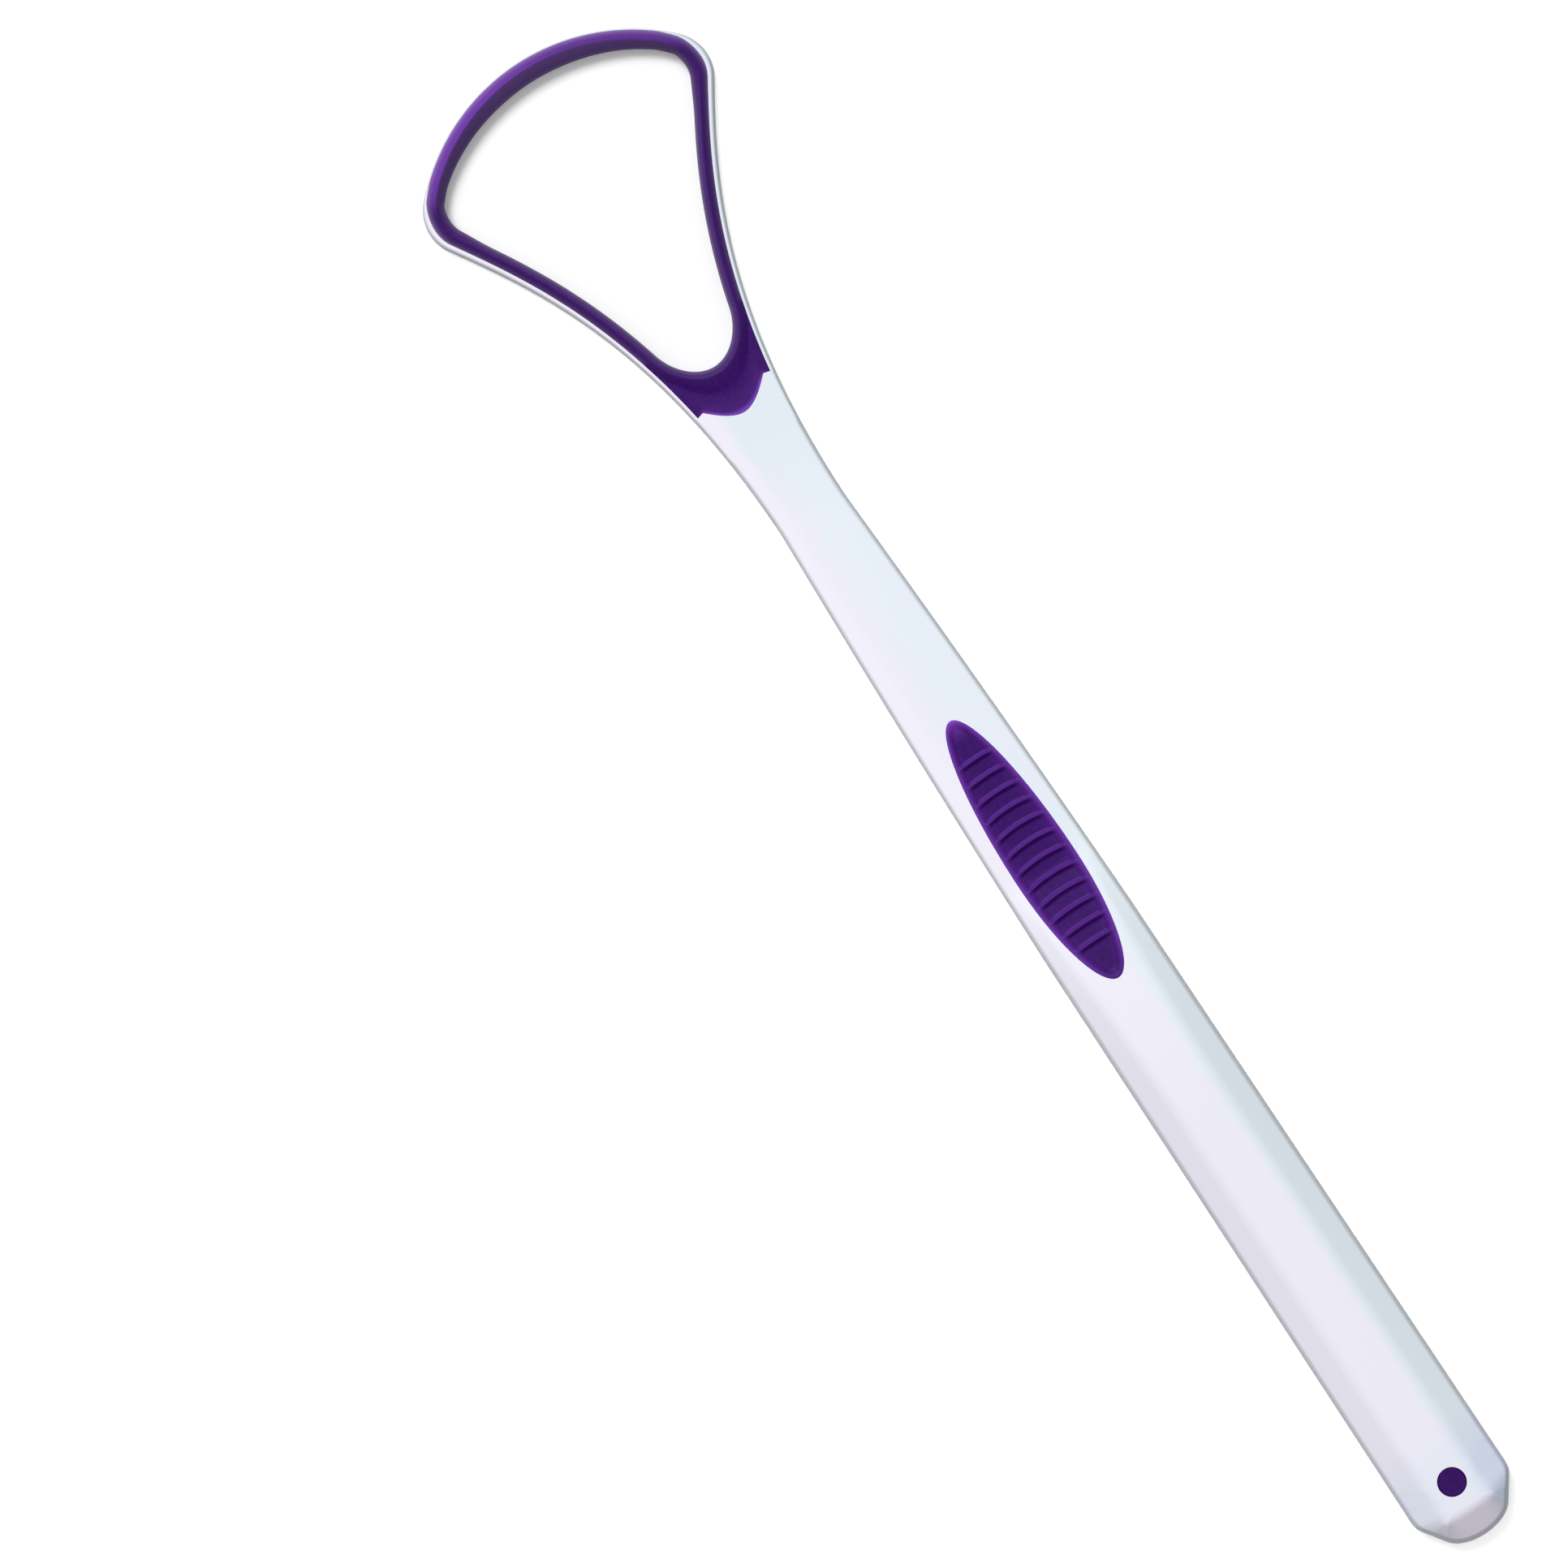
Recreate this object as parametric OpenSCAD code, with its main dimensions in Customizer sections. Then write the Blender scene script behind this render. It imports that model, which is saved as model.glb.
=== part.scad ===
// Tongue scraper. A stiff white frame is moulded first: a wide loop, a slim neck and a long handle
// with a bevelled back half. Three soft pieces are moulded onto it: the ridged lip round the loop,
// with its pad on the neck, the ribbed thumb grip, and the round plug near the end.
// It lies on its back. +X runs from the loop to the end of the handle, and +Z is the scraping side.
// Plan points are measured from the far edge of the loop. The finished part is centred on its length.

/* [Loop] */
// Length from the far edge of the loop to the end of the handle
total_len = 200; // [185:1:230]
// Width of the loop across its two corners
loop_w = 37.7; // [33:0.1:42]
// Outer radius of the far arc, which is drawn across the tongue
far_r = 24.2; // [22:0.1:32]
// Outer radius of the two corners
corner_r = 5.2; // [4:0.1:6.5]
// Angle off the long axis at which each arm leaves its corner
arm_angle = 32.4; // [29:0.2:36]
// How far the arm keeps to that angle before it bends towards the neck
arm_lead = 10.6; // [8:0.2:14]
// How far the side of the neck keeps to the waist's line before it flares out
waist_lead = 26.2; // [22:0.2:29]
// Distance from the far edge to the neck end of the opening
opening_end = 41.2; // [39.5:0.1:43]
// Length over which the opening rounds off at the neck
nose_len = 4.1; // [3.2:0.1:5]

/* [Handle] */
// Distance from the far edge to the waist, the narrowest place
waist_x = 61.5; // [58:0.5:67]
// Width at the waist
waist_w = 8.6; // [7.6:0.1:10]
// Distance from the far edge to the shoulder, where the handle stops widening quickly
shoulder_x = 118; // [100:1:135]
// Width at the shoulder
shoulder_w = 12; // [11:0.1:14]
// How far each side bows out between the waist and the shoulder
side_bow = 0.18; // [0:0.02:0.5]
// Width where the end chamfers start
tail_w = 12.8; // [11.4:0.1:15]
// Length of the chamfered end
end_len = 4.8; // [3.5:0.1:6.5]
// Width left between the two end chamfers
end_w = 7; // [5.5:0.1:8.5]
// How far the end edge bulges past the end of the chamfers
end_bulge = 0.65; // [0.3:0.05:1.2]
// Rounding where each side meets its chamfer
chamfer_r = 3.6; // [2:0.1:4.5]
// Rounding where each chamfer meets the end edge
end_r = 1.2; // [0.6:0.1:1.6]

/* [Heights] */
// Thickness of the frame round the loop
ring_t = 2.2; // [1.8:0.1:2.8]
// Height of the seat that carries the soft lip
seat_z = 1.2; // [0.8:0.1:1.5]
// Thickness of the handle at the waist
waist_t = 3.3; // [2.8:0.1:3.8]
// Height of the handle's sides from the grip to the end
side_t = 3.5; // [3:0.1:4.2]
// How far the bevelled back half stands above its sides
rise = 2; // [1:0.05:2.4]
// Distance from the far edge to the place where the top starts to rise
rise_x = 109.5; // [104:0.5:115]
// Length over which the top rises
rise_len = 32; // [24:1:40]
// Width of the flat facet between the two long bevels
facet_w = 5.7; // [4.5:0.1:7]
// Length of the sloping facet at the end
end_facet = 3.6; // [2.8:0.1:4.4]
// How far the side edge falls round the chamfered end
end_drop = 0.7; // [0:0.05:1.2]
// Width of the rounding along the upper edges
top_r = 0.5; // [0.3:0.05:0.6]
// How far down the sides that rounding reaches
edge_fall = 1.4; // [0.5:0.1:1.5]
// Rounding of the lower edges
bottom_r = 0.6; // [0.3:0.05:0.9]
// Half width of the soft crease along each facet
crease_soft = 0.7; // [0.3:0.05:1]

/* [Scraper lip] */
// Width of the white rim outside the lip at the far arc
rim_far = 0.2; // [0.15:0.05:0.5]
// Width of the white rim at the corners
rim_corner = 0.77; // [0.5:0.01:1]
// Width of the white rim along the arms
rim_arm = 0.58; // [0.4:0.02:0.9]
// Width of the lip at the far arc
lip_far = 2.62; // [2.2:0.02:3]
// Width of the lip at the corners
lip_corner = 2.06; // [1.7:0.02:2.2]
// Width of the lip along the arms
lip_arm = 1.68; // [1.4:0.02:1.9]
// Length over which the lip narrows where the corner runs into the arm
lip_taper = 6; // [4:0.5:10]
// How far the lip hangs past the frame on the inside of the loop
lip_overhang = 0.25; // [0.1:0.05:0.4]
// How far below the rim the lip's inner slope reaches
inner_drop = 0.4; // [0:0.05:0.5]
// Distance from the lip's outer edge to its crest
crest_out = 1; // [0.8:0.05:1.1]
// Height of the lip's crest above the rim at the far arc
crest_far = 1; // [0.7:0.05:1.3]
// Height of the lip's crest above the rim along the arms
crest_arm = 0.75; // [0.5:0.05:1.1]
// Height of the lip's crest above the pad at the neck
crest_neck = 0.7; // [0.4:0.05:1]
// Distance from the opening to the crest at the neck
crest_neck_in = 0.9; // [0.6:0.05:1.1]
// Distance from the opening to the foot of the ridge at the neck
ridge_neck = 3; // [2.4:0.1:3.4]
// Half width of the crest's rounding at the far arc
crest_half = 0.2; // [0.12:0.02:0.3]
// Half width of the crest's rounding along the arms
crest_half_arm = 0.34; // [0.2:0.02:0.4]
// Length of the pad from the opening to its tip
pad_len = 6.2; // [5.5:0.1:7.2]
// Length of the pad's round end
pad_end_len = 2.5; // [2:0.1:2.8]
// Width of the round end where it starts beside the barbs
pad_w = 8.2; // [7.4:0.1:8.4]
// Angle off the axis at which each flank of the round end starts
pad_flank = 45; // [38:1:50]
// How far the flank keeps to that angle
flank_lead = 2.1; // [1.6:0.1:2.5]
// How far the tip of the round end keeps square to the axis
tip_lead = 1.2; // [0.8:0.1:1.6]
// How far the barb beside the round end points along the handle
barb_len = 0.3; // [0:0.05:0.35]
// Width of the bead that stands along the round end
bead_w = 0.5; // [0.3:0.05:0.7]
// Height of that bead
bead_h = 0.12; // [0:0.02:0.2]

/* [Thumb grip] */
// Distance from the far edge to the widest place of the grip
grip_x = 109.5; // [106:0.1:113]
// Length of the grip in front of that place
grip_front = 20; // [17:0.5:23]
// Length of the grip behind that place
grip_rear = 14.8; // [13:0.1:17]
// Width of the grip
grip_w = 7.7; // [6.4:0.1:8]
// Height of the pocket's floor above the back of the handle
grip_floor = 1.9; // [1.4:0.1:2.4]
// Width of the raised border
border_w = 0.55; // [0.4:0.05:0.8]
// Height of the border above the handle
border_h = 0.12; // [0.05:0.01:0.3]
// Depth of the field inside the border, below the handle
field_d = 0.2; // [0.1:0.02:0.4]
// Number of ribs
rib_n = 12; // [8:1:12]
// Distance from rib to rib
rib_pitch = 2.233; // [2:0.05:2.3]
// Distance from the widest place forward to the first rib
rib_lead = 14.8; // [13:0.1:16]
// Width of a rib
rib_w = 0.9; // [0.6:0.02:1]
// Height of a rib above the field
rib_h = 0.44; // [0.2:0.02:0.6]
// How far a rib's middle bows towards the loop
rib_bow = 0.5; // [0.1:0.05:0.8]

/* [End plug] */
// Diameter of the plug
plug_d = 3.4; // [2.6:0.1:4]
// Distance from the plug's centre to the end of the handle
plug_end = 7.2; // [6.4:0.1:10]
// Height of the hole's floor above the back of the handle
plug_floor = 1.6; // [1:0.1:2.4]
// How far the plug's face lies below the handle
plug_sink = 0.08; // [0:0.02:0.3]
// Chamfer round the plug's face
plug_chamfer = 0.12; // [0.06:0.02:0.3]
// Gap left between a soft piece and the frame all round
bond_gap = 0.02; // [0.01:0.01:0.05]

/* [Hidden] */

// Stations along the far arc, corner, arm, nose, handle, side rounding, chamfer and end
far_n = 9;
corner_n = 9;
arm_n = 12;
nose_n = 14;
handle_n = 34;
tail_n = 4;
end_n = 8;
// Steps of a rounded lower and upper edge
edge_n = 3;
fall_n = 5;

// Shares of the sizes they follow
nose_lead_share = 0.62;
nose_round_share = 0.46;
end_round_share = 0.27;
rim_round_share = 0.7;
rim_crease_share = 0.85;
rim_start_share = 0.88;
rim_grow_share = 0.7;
lip_start_share = 0.1;
taper_start_share = 0.33;
barb_share = 0.5;
crest_drop_share = 0.44;
inner_rise_share = 0.58;
outer_rise_share = 0.54;
tuck_share = 0.65;
ridge_share = 0.96;
bead_reach_share = 0.7;
bead_mid_share = 0.5;
bead_edge_share = 0.6;
// Distance from the edge to the crease where there is no bevel
edge_inset = 2.4 * top_r;
// Length over which the stations behind the pad turn square to the handle
square_len = 3 * end_len;

function mix(a, b, t) = a + (b - a) * t;
function clamp(t) = min(1, max(0, t));
function ease(t) = let (c = clamp(t)) c * c * (3 - 2 * c);
function unit(v) = v / norm(v);
function left_of(v) = [-v.y, v.x];
function mirrored(p) = [p.x, -p.y, p.z];
function with_z(p, z) = [p.x, p.y, z];

// A cubic curve through p[0] and p[3], and its direction
function cubic(p, t) =
    pow(1 - t, 3) * p[0] + 3 * pow(1 - t, 2) * t * p[1] + 3 * (1 - t) * t * t * p[2] + t * t * t * p[3];
function cubic_dir(p, t) =
    unit(pow(1 - t, 2) * (p[1] - p[0]) + 2 * (1 - t) * t * (p[2] - p[1]) + t * t * (p[3] - p[2]));
function cubic_at_x(p, x, lo = 0, hi = 1, n = 26) =
    let (m = (lo + hi) / 2)
    n == 0 ? m : cubic(p, m).x < x ? cubic_at_x(p, x, m, hi, n - 1) : cubic_at_x(p, x, lo, m, n - 1);

// The corner's circle touches the far arc from inside and reaches the full width
corner_y = loop_w / 2 - corner_r;
corner_x = far_r - sqrt(pow(far_r - corner_r, 2) - pow(corner_y, 2));
join_angle = atan2(corner_y, far_r - corner_x);
arm_start = [corner_x + corner_r * sin(arm_angle), corner_y + corner_r * cos(arm_angle)];
arm_dir = [cos(arm_angle), -sin(arm_angle)];
flare = [arm_start, arm_start + arm_lead * arm_dir,
    [waist_x - waist_lead, waist_w / 2], [waist_x, waist_w / 2]];

// Places along the flare: end of the arm, tip of the barb, end of the neck
pad_tip = opening_end + pad_len;
pad_shoulder = [pad_tip - pad_end_len, pad_w / 2];
pad_curve = [pad_shoulder, pad_shoulder + flank_lead * [cos(pad_flank), -sin(pad_flank)],
    [pad_tip, tip_lead], [pad_tip, 0]];
neck_end = pad_tip + edge_inset * 3;
arm_share = cubic_at_x(flare, opening_end - nose_len);
barb_at = cubic_at_x(flare, pad_shoulder.x + barb_len);
neck_share = cubic_at_x(flare, neck_end);

// Heights of the side edge and of the top, along the length
function edge_z(x) =
    x < waist_x ? mix(ring_t, waist_t, ease((x - arm_start.x) / (waist_x - arm_start.x)))
    : mix(waist_t, side_t, clamp((x - waist_x) / (rise_x - waist_x)));
function rise_share(x) = let (s = clamp((x - rise_x) / rise_len)) 1 - pow(1 - s, 2);
function top_z(x) = edge_z(x) + rise * rise_share(x);

// The side edge falls once it has passed the place where the end begins
tail_x = total_len - end_len;
function side_z(x) = edge_z(x) - end_drop * clamp((x - tail_x) / end_len);

// Half width of the handle, and of the facet between its bevels
function side_y(x) =
    x < waist_x ? cubic(flare, cubic_at_x(flare, x)).y
    : x < shoulder_x ? let (s = (x - waist_x) / (shoulder_x - waist_x))
        mix(waist_w, shoulder_w, s) / 2 + side_bow * 4 * s * (1 - s)
    : mix(shoulder_w, tail_w, (x - shoulder_x) / (tail_x - shoulder_x)) / 2;
function crease_y(x) =
    let (open = side_y(x) - edge_inset) mix(open, facet_w / 2, rise_share(x));

// Widths of the white rim and of the lip. The place t runs 0 to 1 on the far arc, to 2 round the
// corner and to 3 along the arm
function rim_at(t) =
    let (s = clamp((t - rim_start_share) / rim_grow_share))
    mix(mix(rim_far, rim_corner, 1 - pow(1 - s, 2)), rim_arm, clamp(t - 2));
function lip_at(t, x) =
    mix(mix(lip_far, lip_corner, ease(t - lip_start_share)), lip_arm,
        ease((x - arm_start.x) / lip_taper + taper_start_share));

// Outer edge of the frame and its outward normal at place t
function round_edge(c, r, a) = [c + r * [-cos(a), sin(a)], [-cos(a), sin(a)]];
function flare_edge(s) = [cubic(flare, s), left_of(cubic_dir(flare, s))];
function edge_at(t) =
    t < 1 ? round_edge([far_r, 0], far_r, join_angle * t)
    : t < 2 ? round_edge([corner_x, corner_y], corner_r, mix(join_angle, 90 + arm_angle, t - 1))
    : flare_edge(arm_share * (t - 2));

// A loop station holds: opening point, its normal, lip's outer point, frame's outer point, place
function arm_station(t) =
    let (e = edge_at(t), rim = rim_at(t))
    [e[0] - (rim + lip_at(t, e[0].x)) * e[1], e[1], e[0] - rim * e[1], e[0], t];
arm_end = arm_station(3);
nose_dir = [arm_end[1].y, -arm_end[1].x];
nose = [arm_end[0], arm_end[0] + nose_lead_share * nose_len * nose_dir,
    [opening_end, nose_round_share * arm_end[0].y], [opening_end, 0]];
// Share of the pad's length at which its edge leaves the barb's tip and starts on the round end
shoulder_share = barb_share + 1 / (2 * nose_n);
function neck_edge(s) =
    flare_edge(s < barb_share ? mix(arm_share, barb_at, s / barb_share)
        : mix(barb_at, neck_share, (s - barb_share) / (1 - barb_share)));
function pad_edge(s) =
    s <= barb_share ? let (e = neck_edge(s)) e[0] - rim_arm * e[1]
    : cubic(pad_curve, clamp((s - shoulder_share) / (1 - shoulder_share)));
function nose_station(s) =
    [cubic(nose, s), left_of(cubic_dir(nose, s)), pad_edge(s), neck_edge(s)[0], 3 + s];

nose_places = [for (i = [1:nose_n]) i / nose_n];
loop_stations = concat(
    [for (i = [0:far_n - 1]) arm_station(i / far_n)],
    [for (i = [0:corner_n - 1]) arm_station(1 + i / corner_n)],
    [for (i = [0:arm_n]) arm_station(2 + i / arm_n)],
    [for (s = nose_places) if (s < barb_share) nose_station(s)],
    [nose_station(barb_share), nose_station(shoulder_share)],
    [for (s = nose_places) if (s > shoulder_share) nose_station(s)]);
loop_n = len(loop_stations);

// Rounded edges of the frame, given the outer point, the direction inwards and the slope of the top
function top_edge(o, inward, z, r, slope) =
    let (fall = min(edge_fall, z - bottom_r))
    [for (i = [0:fall_n]) let (a = 90 * i / fall_n, in = r * (1 - sin(a)))
        with_z(o + in * inward, z + slope * in - fall * (1 - cos(a)))];
function bottom_edge(o, inward, r) =
    [for (i = [0:edge_n]) let (a = 90 * i / edge_n) with_z(o + r * (1 - cos(a)) * inward, r * (1 - sin(a)))];

// Outer half section of the frame, from its inner top point over the crease and the edge to the bottom
function outer_section(inner, crease, o, bottom, r) =
    let (
        reach = norm(crease - o), inward = (crease - o) / reach,
        z_in = top_z(crease.x), z_out = side_z(o.x), slope = (z_in - z_out) / reach,
        soft = min(crease_soft, reach / 4, norm(crease - inner) / 2),
        before = with_z(crease + soft * unit(inner - crease), z_in),
        after = with_z(crease - soft * inward, z_in - soft * slope)
    )
    concat([with_z(inner, top_z(inner.x)), before, (before + after + 2 * with_z(crease, z_in)) / 4, after],
        top_edge(o, inward, z_out, r, slope), bottom_edge(o, inward, bottom_r), [with_z(bottom, 0)]);

// Frame section at a loop station: the rim outside, then the inner wall and the seat under the lip
function loop_section(st) =
    let (
        wall = st[0] + lip_overhang * st[1], rim = norm(st[2] - st[3]),
        crease = mix(st[3], st[2], min(rim_crease_share, edge_inset / rim)),
        floor_r = bottom_r / 2
    )
    concat(outer_section(st[2], crease, st[3], wall + floor_r * st[1], min(top_r, rim_round_share * rim)),
        [with_z(wall, floor_r), with_z(wall, seat_z), with_z(st[2], seat_z)]);

// Handle stations square to the length, after the first few turn away from the pad
function handle_section(x) =
    let (turn = max(0, 1 - (x - neck_end) / square_len), o = [x, side_y(x)])
    outer_section([x - (neck_end - pad_tip) * turn, 0], [x, crease_y(x)], o,
        [x - (neck_end - opening_end - lip_overhang - bottom_r) * turn, 0], top_r);

// The end: side rounding, chamfer and end edge, with the facet's corner inside them
side_corner = [tail_x, tail_w / 2];
end_corner = [total_len - end_bulge, end_w / 2];
chamfer_dir = unit(end_corner - side_corner);
side_curve = [side_corner - [chamfer_r / 2, 0], side_corner, side_corner,
    side_corner + chamfer_dir * chamfer_r / 2];
end_curve = [end_corner - end_r * chamfer_dir, end_corner, [total_len, end_round_share * end_w],
    [total_len, 0]];
facet_corner = [total_len - end_facet, facet_w / 2];
facet_r = crease_soft / 4;
last_x = tail_x - chamfer_r;

// Outer point and crease point round the end
end_stations = concat(
    [for (i = [0:tail_n]) [cubic(side_curve, i / tail_n),
        [mix(last_x + facet_r, facet_corner.x - facet_r, (i + 1) / (tail_n + 1)), facet_corner.y]]],
    [[(side_curve[3] + end_curve[0]) / 2, facet_corner - [facet_r, facet_r] / 4]],
    [for (i = [0:end_n]) [cubic(end_curve, i / end_n),
        [facet_corner.x, (facet_corner.y - facet_r) * (1 - i / end_n)]]]);
function end_section(i) =
    let (
        st = end_stations[i],
        axis_x = mix(last_x, facet_corner.x - crease_soft, min(1, (i + 1) / (len(end_stations) - 1)))
    )
    outer_section([axis_x, 0], st[1], st[0], [axis_x, 0], top_r);

// A half frame is a list of sections. Loop sections close round the frame's bar, the others are open
// at the axis, where the mirrored half meets them
handle_sections = concat(
    [for (i = [1:handle_n]) handle_section(mix(neck_end, last_x, i / handle_n))],
    [for (i = [0:len(end_stations) - 1]) end_section(i)]);

function quad(a, b, c, d) = [[a, b, c], [a, c, d]];
function quads(first, count, size, wrap) =
    [for (k = [0:count - 2], j = [0:size - (wrap ? 1 : 2)])
        let (a = first + k * size, n = (j + 1) % size)
        each quad(a + j, a + n, a + size + n, a + size + j)];
function flipped(faces, shift) = [for (f = faces) [f[2] + shift, f[1] + shift, f[0] + shift]];

module both_halves(points, faces) {
    polyhedron(points = concat(points, [for (p = points) mirrored(p)]),
        faces = concat(faces, flipped(faces, len(points))), convexity = 8);
}

module frame_blank() {
    closed = [for (st = loop_stations) loop_section(st)];
    open_size = len(handle_sections[0]);
    last_closed = closed[loop_n - 1];
    link = [for (j = [0:open_size - 1]) last_closed[j]];
    open_first = loop_n * len(closed[0]);
    points = concat([for (s = closed) each s], link, [for (s = handle_sections) each s]);
    faces = concat(quads(0, loop_n, len(closed[0]), true),
        quads(open_first, len(handle_sections) + 1, open_size, false));
    both_halves(points, faces);
}

// Outline of the grip: two half ellipses that share the widest place
function grip_y(x, grow = 0) =
    let (reach = (x < grip_x ? grip_front : grip_rear) + grow, s = (x - grip_x) / reach)
    (grip_w / 2 + grow) * sqrt(max(0, 1 - s * s));
outline_n = 60;
function grip_outline(grow) =
    [for (i = [0:outline_n - 1]) let (a = 360 * i / outline_n)
        [grip_x + (cos(a) < 0 ? grip_front + grow : grip_rear + grow) * cos(a),
            (grip_w / 2 + grow) * sin(a)]];

module handle_frame() {
    color("white")
    translate([-total_len / 2, 0, 0])
    difference() {
        frame_blank();
        translate([0, 0, grip_floor]) linear_extrude(side_t + rise) polygon(grip_outline(0));
        translate([total_len - plug_end, 0, plug_floor]) cylinder(d = plug_d, h = side_t + rise, $fn = 48);
    }
}

// Share of its height that the bead has at place t
function bead_at(t) = ease(2 * (t - 3 - shoulder_share) / (1 - shoulder_share));

// Section of the lip: ridge from the opening to its foot, pad with its bead, outer wall, underside
// and inner face
function lip_section(st) =
    let (
        t = st[4], neck = ease(t - 3), band = norm(st[2] - st[0]),
        width = t > 3 ? lip_arm : band,
        foot_s = mix(ridge_share * width, ridge_neck, neck * neck),
        crest_s = mix(width - crest_out, crest_neck_in, neck),
        crest_up = t < 1 ? crest_far : t < 2 ? mix(crest_far, crest_arm, ease(t - 1))
            : mix(crest_arm, crest_neck, neck),
        half = mix(crest_half, crest_half_arm, ease(t - 1)),
        inner = st[0], out = st[1], outer = st[2] - bond_gap * out,
        foot = inner + foot_s * out, crest = inner + crest_s * out,
        before = crest - half * out, after = crest + half * out,
        low = top_z(foot.x), high = low + crest_up, near = high - crest_drop_share * half,
        side = low - inner_drop, seat = seat_z + bond_gap, reach = norm(outer - foot),
        bead_in = mix(outer, foot, min(bead_reach_share, bead_w / reach)),
        bead_top = mix(outer, bead_in, bead_mid_share), bead_up = bead_h * bead_at(t)
    )
    [with_z(inner, side), with_z(mix(inner, before, 0.5), mix(side, near, inner_rise_share)),
        with_z(before, near), with_z(crest, high), with_z(after, near),
        with_z(mix(foot, after, 0.5), mix(low, near, outer_rise_share)), with_z(foot, low),
        with_z(bead_in, top_z(bead_in.x)), with_z(bead_top, top_z(bead_top.x) + bead_up),
        with_z(outer, top_z(outer.x) + bead_edge_share * bead_up),
        with_z(outer, seat), with_z(inner + lip_overhang * out, seat),
        with_z(inner, mix(seat, side, tuck_share))];

module scraper_lip() {
    sections = [for (st = loop_stations) lip_section(st)];
    color("indigo")
    translate([-total_len / 2, 0, 0])
    both_halves([for (s = sections) each s], quads(0, loop_n, len(sections[0]), true));
}

// Places along the grip: a plain front, five stations on each rib, and a plain rear
first_rib = grip_x - rib_lead;
last_rib = first_rib + (rib_n - 1) * rib_pitch;
plain_n = 6;
rib_shares = [-0.5, -0.24, 0, 0.24, 0.5];
rib_heights = [0, 0.74, 1, 0.74, 0];
function tip_place(i, tip, rib) = mix(tip, rib, pow((i + 0.35) / plain_n, 2));
grip_stations = concat(
    [for (i = [0:plain_n - 1]) [tip_place(i, grip_x - grip_front + bond_gap, first_rib - rib_w), 0]],
    [for (r = [0:rib_n - 1], k = [0:4]) [first_rib + r * rib_pitch + rib_w * rib_shares[k],
        rib_h * rib_heights[k]]],
    [for (i = [plain_n - 1:-1:0]) [tip_place(i, grip_x + grip_rear - bond_gap, last_rib + rib_w), 0]]);

// Distances from the outline across a grip section, and how deep the field is there
across = [0, 0.3, 1, 1.9];
across_depths = [0, 0, 0, 1];
function grip_half(st, side) =
    let (
        tip_gap = min(st[0] - grip_x + grip_front, grip_x + grip_rear - st[0]) - bond_gap,
        bow = rib_bow * ease(tip_gap / (2 * grip_w)),
        edge_y = grip_y(st[0] + bow, -bond_gap), open = ease(tip_gap / (2 * border_w) - 0.5),
        inset = [for (a = across) min(a * border_w, edge_y * a / 2)],
        ys = concat([for (d = inset) edge_y - d], [for (q = [0.66, 0.33]) (edge_y - inset[3]) * q]),
        depth = concat(across_depths, [1, 1])
    )
    [for (i = [0:5]) let (y = ys[i], x = st[0] + bow * pow(y / edge_y, 2),
            up = i == 0 ? 0 : mix(border_h, st[1] - field_d, depth[i] * open))
        [x, side * y, top_z(x) + up]];
function grip_section(st) =
    let (right = grip_half(st, 1), left = grip_half(st, -1), edge = right[0],
        floor_z = grip_floor + bond_gap, open = right[5].z - top_z(right[5].x))
    concat([with_z(edge, floor_z)], right, [[st[0], 0, top_z(st[0]) + open]],
        [for (i = [5:-1:0]) left[i]], [with_z(left[0], floor_z)]);

module thumb_grip() {
    sections = [for (st = grip_stations) grip_section(st)];
    size = len(sections[0]);
    last = (len(sections) - 1) * size;
    color("indigo")
    translate([-total_len / 2, 0, 0])
    polyhedron(points = [for (s = sections) each s],
        faces = concat(flipped(quads(0, len(sections), size, true), 0),
            [[for (j = [0:size - 1]) j]], [[for (j = [size - 1:-1:0]) last + j]]), convexity = 8);
}

module end_plug() {
    plug_r = plug_d / 2 - bond_gap;
    plug_h = side_t + rise - plug_sink - plug_floor - bond_gap;
    color("indigo")
    translate([total_len / 2 - plug_end, 0, plug_floor + bond_gap]) {
        cylinder(r = plug_r, h = plug_h - plug_chamfer, $fn = 48);
        translate([0, 0, plug_h - plug_chamfer])
            cylinder(r1 = plug_r, r2 = plug_r - plug_chamfer, h = plug_chamfer, $fn = 48);
    }
}

handle_frame();
scraper_lip();
thumb_grip();
end_plug();
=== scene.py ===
"""A white tongue scraper with purple soft parts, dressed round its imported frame.

Sizes are in millimetres, in the plan of the part: x runs from the far edge of the loop to the end
of the handle, y across it, and z up from its flat back. They become metres when a mesh is made.
"""
import math

import bmesh
import bpy
import numpy as np
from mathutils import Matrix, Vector


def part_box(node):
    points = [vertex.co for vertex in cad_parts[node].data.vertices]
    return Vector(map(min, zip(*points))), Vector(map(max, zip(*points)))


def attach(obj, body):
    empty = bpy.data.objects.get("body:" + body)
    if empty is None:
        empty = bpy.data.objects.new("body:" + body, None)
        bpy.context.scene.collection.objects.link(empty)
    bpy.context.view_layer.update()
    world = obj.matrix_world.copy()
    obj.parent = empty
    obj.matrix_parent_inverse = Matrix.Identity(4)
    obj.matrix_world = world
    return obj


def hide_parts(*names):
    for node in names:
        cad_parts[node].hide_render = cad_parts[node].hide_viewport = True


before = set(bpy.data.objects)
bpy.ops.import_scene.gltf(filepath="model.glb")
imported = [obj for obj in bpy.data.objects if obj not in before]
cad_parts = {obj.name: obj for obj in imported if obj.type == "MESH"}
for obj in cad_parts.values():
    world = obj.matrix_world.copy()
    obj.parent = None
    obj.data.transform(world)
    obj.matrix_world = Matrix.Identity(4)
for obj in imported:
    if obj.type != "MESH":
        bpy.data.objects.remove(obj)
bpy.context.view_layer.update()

MM = 0.001
HALF_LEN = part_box("handle_frame")[1].x / MM


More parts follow.
